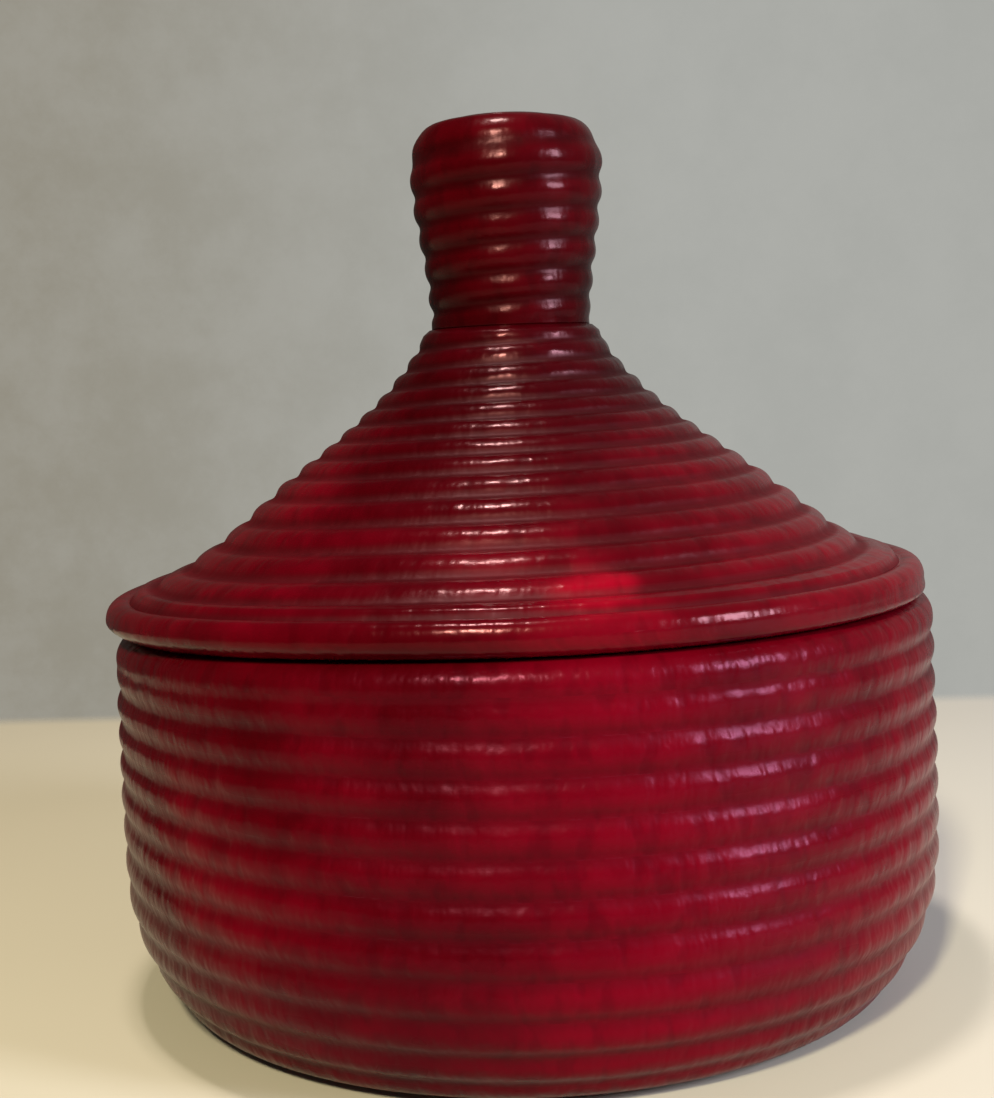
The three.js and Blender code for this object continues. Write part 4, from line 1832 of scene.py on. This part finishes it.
    def edge_dip(self, inset: float, high: float, roll: float) -> Section:
        """The level groove between the last cone row and the edge: a smooth dip between the two.

        Args:
            inset: how far the section lies inside the leather's outer side.
            high: place where the ribbed leather ends.
            roll: angle at which the edge's roll starts.

        Returns:
            The section.
        """
        start = self.line.point(high, float(self.skin(high)) - inset)
        bottom = self.line.point(self.groove, EDGE_SKIN - self.groove_depth - inset)
        outward = np.array([math.cos(roll), math.sin(roll)])
        end = self.line.point(self.line.length) + (EDGE_SKIN - inset) * outward
        share = np.linspace(0, 1, self.groove_stations)[1:-1, None]
        bell = np.sin(math.pi * share) ** self.groove_narrowness
        points = start * (1 - share) + end * share + (bottom - (start + end) / 2) * bell
        place = high + (self.line.length - high) * share[:, 0]
        normals = np.tile(self.line.frame_at(np.array([self.groove]))[1], (len(share), 1))
        # The dip's bell is its hollowness, which darkens the leather's colour as dye and painted
        # shade
        return Section(points, normals, place, np.zeros(len(share)), bell[:, 0])

    def seat_rows(self) -> BoundStrand:
        """The ring of rows under the lid that sits inside the rim.

        Returns:
            The strand.
        """
        rim = MOUTH_RADIUS - BODY_SKIN
        chord = rim * (1 - math.cos(math.pi / self.seat_sides))
        outside = rim - chord - BODY_SKIN - self.play
        radius = outside - LID_CANE / 2
        radii, heights = self.line.points.T
        over = float(np.interp(outside, radii, heights))
        place = float(np.interp(outside, radii, self.line.places))
        top = over - float(self.cane(place)) / 2 - SEAM_GAP - LID_CANE / 2
        bottom = top - (self.seat_ring_rows - 1) * LID_PITCH
        line = straight_line((radius, top), (radius, bottom), -1)
        spacing = Spacing(0.0, LID_PITCH)
        winding = Winding(line, spacing, CONE_START_TURN, even_cane(LID_CANE), 0.0, line.length)
        return BoundStrand("seat_rows", winding, self.seat_fullness)

    def build(self, finishes: Finishes) -> None:
        """Makes and dresses the lid's pieces.

        Args:
            finishes: the basket's materials.
        """
        edge = self.line.point(self.line.length)
        cover = MouldedSkin(
            "cone_cover", self.winding, self.cover_section,
            self.rib_depth, self.sharpness, self.columns, self.seed,
        )
        hoop = BoundHoop("edge_hoop", MOUTH_RADIUS - EDGE_SKIN, LID_LEVEL, EDGE_CANE)
        hem = RunningStitch(
            "edge_stitches", edge[0] - self.turn_under + self.stitch_margin,
            edge[1] - EDGE_SKIN + self.stitch_sink, (0.0, -1.0), self.stitches,
        )
        cone = BoundStrand("cone_rows", self.winding)
        for piece, finish, slot, *nodes in (
            (cover, finishes.lid, "red_leather", "lid_cover"),
            (cone, finishes.cane, "wicker", "lid_coil"),
            (self.seat_rows(), finishes.cane, "wicker", "lid_seat_ring"),
            (hoop, finishes.cane, "wicker", "lid_edge_hoop"),
            (hem, finishes.thread, "red_leather"),
        ):
            dress(piece.build(), finish, self.body, slot, *nodes)


@dataclass
class Knob:
    """The knob on the lid: coil, leather sleeve, cap and a peg of bundled cane.

    Attributes:
        sleeve_foot: height at which the sleeve ends.
        body: the body that its pieces ride on.
        rise: height of its top row over its first.
        shoulder_radius: radius of the arc over the top.
        shoulder_bend: how far that arc bends in, in degrees.
        start_turn: turn at which its strand begins.
        rib_depth: depth of the leather's grooves.
        sharpness: how much sharper they are than the crests.
        turn_in: leather turned in over the top.
        cap_inset: how far the cap's edge is inside the top row's middle.
        cap_leather: thickness of the cap.
        cap_edge: corners of the cap's edge, each (how far in, how high).
        columns: columns of the sleeve's mesh.
        seed: shifts the leather's unevenness.
    """

    sleeve_foot: float
    body: str = "lid"
    rise: float = 32.8
    shoulder_radius: float = 7.5
    shoulder_bend: float = 42.0
    start_turn: float = 0.25
    rib_depth: float = 0.7
    sharpness: float = 0.45
    turn_in: float = 4.0
    cap_inset: float = 1.5
    cap_leather: float = 1.2
    cap_edge: tuple[Pair, ...] = (
        (0.3, 0.0), (0.0, 0.12), (0.2, 0.35), (1.5, 0.7), (4.0, 1.05),
    )
    columns: int = 180
    seed: float = 0.29
    line: RowLine = field(init=False)
    winding: Winding = field(init=False)

    def __post_init__(self) -> None:
        """Lays out the knob's line and winding."""
        self.line = self.knob_line()
        spacing = Spacing(self.line.length, LID_PITCH)
        cane = even_cane(LID_CANE)
        self.winding = Winding(self.line, spacing, self.start_turn, cane, 0.0, self.line.length)

    def knob_line(self) -> RowLine:
        """Middle line of the knob rows: an arc in over the top, then a side that swells smoothly.

        Returns:
            The line.
        """
        top_radius = KNOB_TOP_RADIUS - LID_SKIN - self.shoulder_radius
        centre = np.array([top_radius, KNOB_FOOT_LEVEL + self.rise])
        angle = np.linspace(math.radians(self.shoulder_bend), 0, LINE_SAMPLES // 4)
        arc = centre + self.shoulder_radius * np.stack([np.cos(angle), np.sin(angle)], -1)
        share = np.linspace(1, 0, LINE_SAMPLES)[1:]
        swell = (KNOB_TOP_RADIUS - KNOB_FOOT_RADIUS) * smooth_step(share, 0.0, 1.0)
        radius = KNOB_FOOT_RADIUS + swell - LID_SKIN
        side = np.stack([radius, KNOB_FOOT_LEVEL + share * self.rise], -1)
        return RowLine(np.concatenate([arc, side]), -1)

    def sleeve_section(self, inset: float, rows_per_rib: int) -> Section:
        """The leather's section: in over the top, round the last row and down to the neck.

        Args:
            inset: how far the section lies inside the leather's outer side.
            rows_per_rib: stations for each rib.

        Returns:
            The section.
        """
        top, first = self.line.point(0.0), self.line.normal_angle(0.0)
        skin = LID_SKIN - inset
        over = top[1] + skin
        foot = self.line.length + KNOB_FOOT_LEVEL - self.sleeve_foot
        places = spaced(0.0, foot, LID_PITCH / rows_per_rib)
        hem_place = -(math.pi / 2 - first) * skin - self.turn_in
        hem = (top[0] - self.turn_in, over), (top[0] - HEM_START, over)
        return Section.joined([
            Section.hem(*hem, (0, 1), hem_place),
            Section.arc(top, skin, (math.pi / 2, first), 0.0, -1),
            Section.along(self.line, places, skin, LID_PITCH * RIB_FADE),
        ])

    def build(self, finishes: Finishes) -> None:
        """Makes and dresses the knob's pieces. The peg keeps the frame's own mesh.

        Args:
            finishes: the basket's materials.
        """
        top = self.line.point(0.0)
        sleeve = MouldedSkin(
            "knob_sleeve", self.winding, self.sleeve_section,
            self.rib_depth, self.sharpness, self.columns, self.seed,
        )
        cap = TurnedDisc(
            "cap", top[0] - self.cap_inset, top[1] + LID_SKIN + CLOSE_FIT,
            self.cap_leather, self.cap_edge, eye=0.3, columns=96,
        )
        rows = BoundStrand("knob_rows", self.winding, fullness=1.0)
        for piece, finish, slot, node in (
            (sleeve, finishes.knob, "red_leather", "knob_cover"),
            (cap, finishes.knob, "red_leather", "knob_cap"),
            (rows, finishes.cane, "wicker", "knob_coil"),
        ):
            dress(piece.build(), finish, self.body, slot, node)
        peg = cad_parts["knob_core"]
        peg.data.materials.clear()
        peg.data.materials.append(finishes.bundle)


# The room


@dataclass(frozen=True)
class Viewpoint:
    """The photograph's camera, fitted to the basket's outline and rows.

    Attributes:
        location: its place in metres.
        pitch_down: degrees by which it looks down.
        roll: degrees by which it is rolled.
        lens: focal length for the sensor's width.
        sensor: width of the sensor.
    """

    location: Triple = (-0.00504, -0.36828, 0.1323)
    pitch_down: float = 5.76
    roll: float = -2.35
    lens: float = 54.2
    sensor: float = 36.0

    def matrix(self) -> Matrix:
        """The camera's place and turn.

        Returns:
            Its matrix.
        """
        tilt = Matrix.Rotation(math.radians(90 - self.pitch_down), 4, "X")
        roll = Matrix.Rotation(math.radians(self.roll), 4, "Z")
        return Matrix.Translation(self.location) @ tilt @ roll

    def build(self) -> None:
        """Makes the camera and gives it to the scene."""
        data = bpy.data.cameras.new("photo_camera")
        data.lens = self.lens
        data.sensor_width = self.sensor
        data.clip_start = 0.01
        camera = bpy.data.objects.new("photo_camera", data)
        camera.matrix_world = self.matrix()
        bpy.context.scene.collection.objects.link(camera)
        bpy.context.scene.camera = camera


@dataclass(frozen=True)
class SoftLamp:
    """A rectangular area lamp that points at the basket.

    Attributes:
        name: the lamp's name.
        azimuth: degrees to the right of the viewer's side.
        elevation: degrees above the floor.
        distance: metres from the basket.
        size: width and height in metres.
        power: watts.
        colour: its light.
        aim: height in metres at which it points.
    """

    name: str
    azimuth: float
    elevation: float
    distance: float
    size: Pair
    power: float
    colour: Colour
    aim: float = 0.09

    def build(self) -> None:
        """Makes the lamp and turns it to the basket's middle."""
        a, e = math.radians(self.azimuth), math.radians(self.elevation)
        towards = Vector((math.sin(a) * math.cos(e), -math.cos(a) * math.cos(e), math.sin(e)))
        data = bpy.data.lights.new(self.name, "AREA")
        data.shape = "RECTANGLE"
        data.size, data.size_y = self.size
        data.energy = self.power
        data.color = self.colour
        lamp = bpy.data.objects.new(self.name, data)
        lamp.location = Vector((0, 0, self.aim)) + towards * self.distance
        lamp.rotation_euler = (-towards).to_track_quat("-Z", "Y").to_euler()
        bpy.context.scene.collection.objects.link(lamp)


@dataclass(frozen=True)
class Room:
    """A pale table top whose far edge shows, and the soft grey wall light behind it.

    Attributes:
        far_left: a point of the table's far edge, in metres.
        far_right: another to the right of it.
        reach: how far the table goes to the other sides.
        edge_blur: half the width over which its far edge fades.
        table: its colour on the left, painted warm as the light falls there.
        table_right_lit: its colour on the right, painted cooler as the side window lights it.
        smudge: colour of faint smudges on it.
        wall_left: colour of the wall on the left.
        wall_right: colour of the wall on the right.
        plaster: colour of its faint clouds.
        ambient: light of the room in front of the wall.
        table_turns: where the table goes from its left colour to its right one, in metres.
        wall_turns: the same for the wall, by how far aside a ray goes.
        wall_bend: how far the wall comes round on the left.
        wall_side: how far back a ray goes where the wall starts and where it is full.
        wall_top: how far up a ray goes where the wall starts to end and where it has ended.
        room_turns: how far aside a ray goes from the room's dim side to its bright one.
        room_levels: how bright the room is on those two sides.
        mirror_turns: how far aside a ray goes between the two shares of mirror_dims.
        mirror_dims: by how much the polish mirrors less, on the left and on the right.
    """

    far_left: Pair = (-0.2148, 0.3104)
    far_right: Pair = (0.1897, 0.2778)
    reach: float = 3.0
    edge_blur: float = 0.012
    table: Colour = (0.415, 0.36, 0.272)
    table_right_lit: Colour = (0.425, 0.395, 0.37)
    smudge: Colour = (0.3, 0.26, 0.2)
    wall_left: Colour = (0.285, 0.263, 0.21)
    wall_right: Colour = (0.395, 0.4, 0.375)
    plaster: Colour = (0.5, 0.5, 0.47)
    ambient: Colour = (0.21, 0.206, 0.206)
    table_turns: Pair = (-0.2, 0.25)
    wall_turns: Pair = (-0.34, 0.14)
    wall_bend: float = 0.45
    wall_side: Pair = (0.1, 0.5)
    wall_top: Pair = (0.35, 0.75)
    room_turns: Pair = (-0.7, 0.7)
    room_levels: Pair = (0.15, 1.85)
    mirror_turns: Pair = (-0.3, 0.4)
    mirror_dims: Pair = (0.8, 0.4)

    def build(self) -> None:
        """Makes the table top, the world and the lamps."""
        self.table_top()
        self.surroundings()
        for lamp in (
            SoftLamp("front_window", -12.0, 37.0, 1.0, (0.073, 0.146), 14.0, (1.0, 0.95, 0.66)),
            SoftLamp("ceiling", -55.0, 83.5, 1.0, (0.091, 0.091), 7.6, (1.0, 0.94, 0.84)),
            SoftLamp("side_window", 59.0, 21.0, 1.15, (0.24, 0.39), 17.0, (0.82, 0.88, 1.0)),
        ):
            lamp.build()

    def table_top(self) -> None:
        """A flat quad whose far edge lies as in the photograph and fades out over its blur."""
        (x0, y0), (x1, y1) = self.far_left, self.far_right
        slope = (y1 - y0) / (x1 - x0)
        reach, start = self.reach, y0 - slope * x0
        far = [start - slope * reach + self.edge_blur, start + slope * reach + self.edge_blur]
        points = [[-reach, far[0], 0], [-reach, -reach, 0], [reach, -reach, 0], [reach, far[1], 0]]
        floor = mesh_object(
            "table_top", np.array(points), np.arange(4), np.array([4]), np.zeros((4, 2))
        )
        g = Surface("table_paint")
        x, y, _ = g.axes(g.place())
        # Painted light: the table goes from warm on the left to cool on the right, as the side
        # window lights it
        colour = g.blend(g.span(x, *self.table_turns), self.table, self.table_right_lit)
        cloud = g.span(g.noise(g.place(), 9.0), 0.3, 0.7, 0.0, 0.06)
        short_of_edge = g.minus(g.add(start, g.times(x, slope)), y)
        floor.data.materials.append(g.finished(
            Base_Color=g.blend(cloud, colour, self.smudge),
            Roughness=0.6,
            Alpha=g.span(short_of_edge, -self.edge_blur, self.edge_blur),
        ))

    def surroundings(self) -> None:
        """The world: the wall's colour for what is seen, a wall behind and a dim room in front.

        The wall goes from warm on the left to cool on the right by the ray's own direction. The
        room is dimmer on the left, and the polish mirrors all of it more faintly, there most of
        all.
        """
        world = bpy.data.worlds.new("room_light")
        world.use_nodes = True
        g = Graph(world.node_tree)
        ray = g.node("ShaderNodeTexCoord").outputs["Generated"]
        aside, behind, above = g.axes(ray)
        path = g.node("ShaderNodeLightPath")
        wall = g.blend(g.span(aside, *self.wall_turns), self.wall_left, self.wall_right)
        cloud = g.span(g.noise(ray, 13.0, detail=6.0, rough=0.7), 0.3, 0.7, 0.0, 0.2)
        wall = g.blend(cloud, wall, self.plaster)
        round_left = g.times(g.math("MAXIMUM", g.times(aside, -1.0), 0.0), self.wall_bend)
        turned = g.span(g.add(behind, round_left), *self.wall_side)
        facing_wall = g.times(turned, g.span(above, *self.wall_top, 1.0, 0.0))
        wall_share = g.math("MAXIMUM", path.outputs["Is Camera Ray"], facing_wall)
        room = g.dimmed(self.ambient, g.span(aside, *self.room_turns, *self.room_levels))
        shown = g.blend(wall_share, room, wall)
        dim = g.span(aside, *self.mirror_turns, *self.mirror_dims)
        shown = g.blend(g.times(path.outputs["Is Glossy Ray"], dim), shown, (0.0, 0.0, 0.0))
        light = g.made(g.node("ShaderNodeBackground"), {"Color": shown}, 0)
        g.wire(light, g.node("ShaderNodeOutputWorld").inputs["Surface"])
        bpy.context.scene.world = world


def main() -> None:
    """Builds the camera, the room, the drum, the lid and its knob."""
    logging.basicConfig(level=logging.INFO)
    bpy.context.scene.view_settings.view_transform = "Standard"
    Viewpoint().build()
    Room().build()
    finishes = Finishes.build()
    lid = Lid()
    Drum().build(finishes)
    lid.build(finishes)
    Knob(lid.sleeve_foot()).build(finishes)


if __name__ == "__main__":
    main()
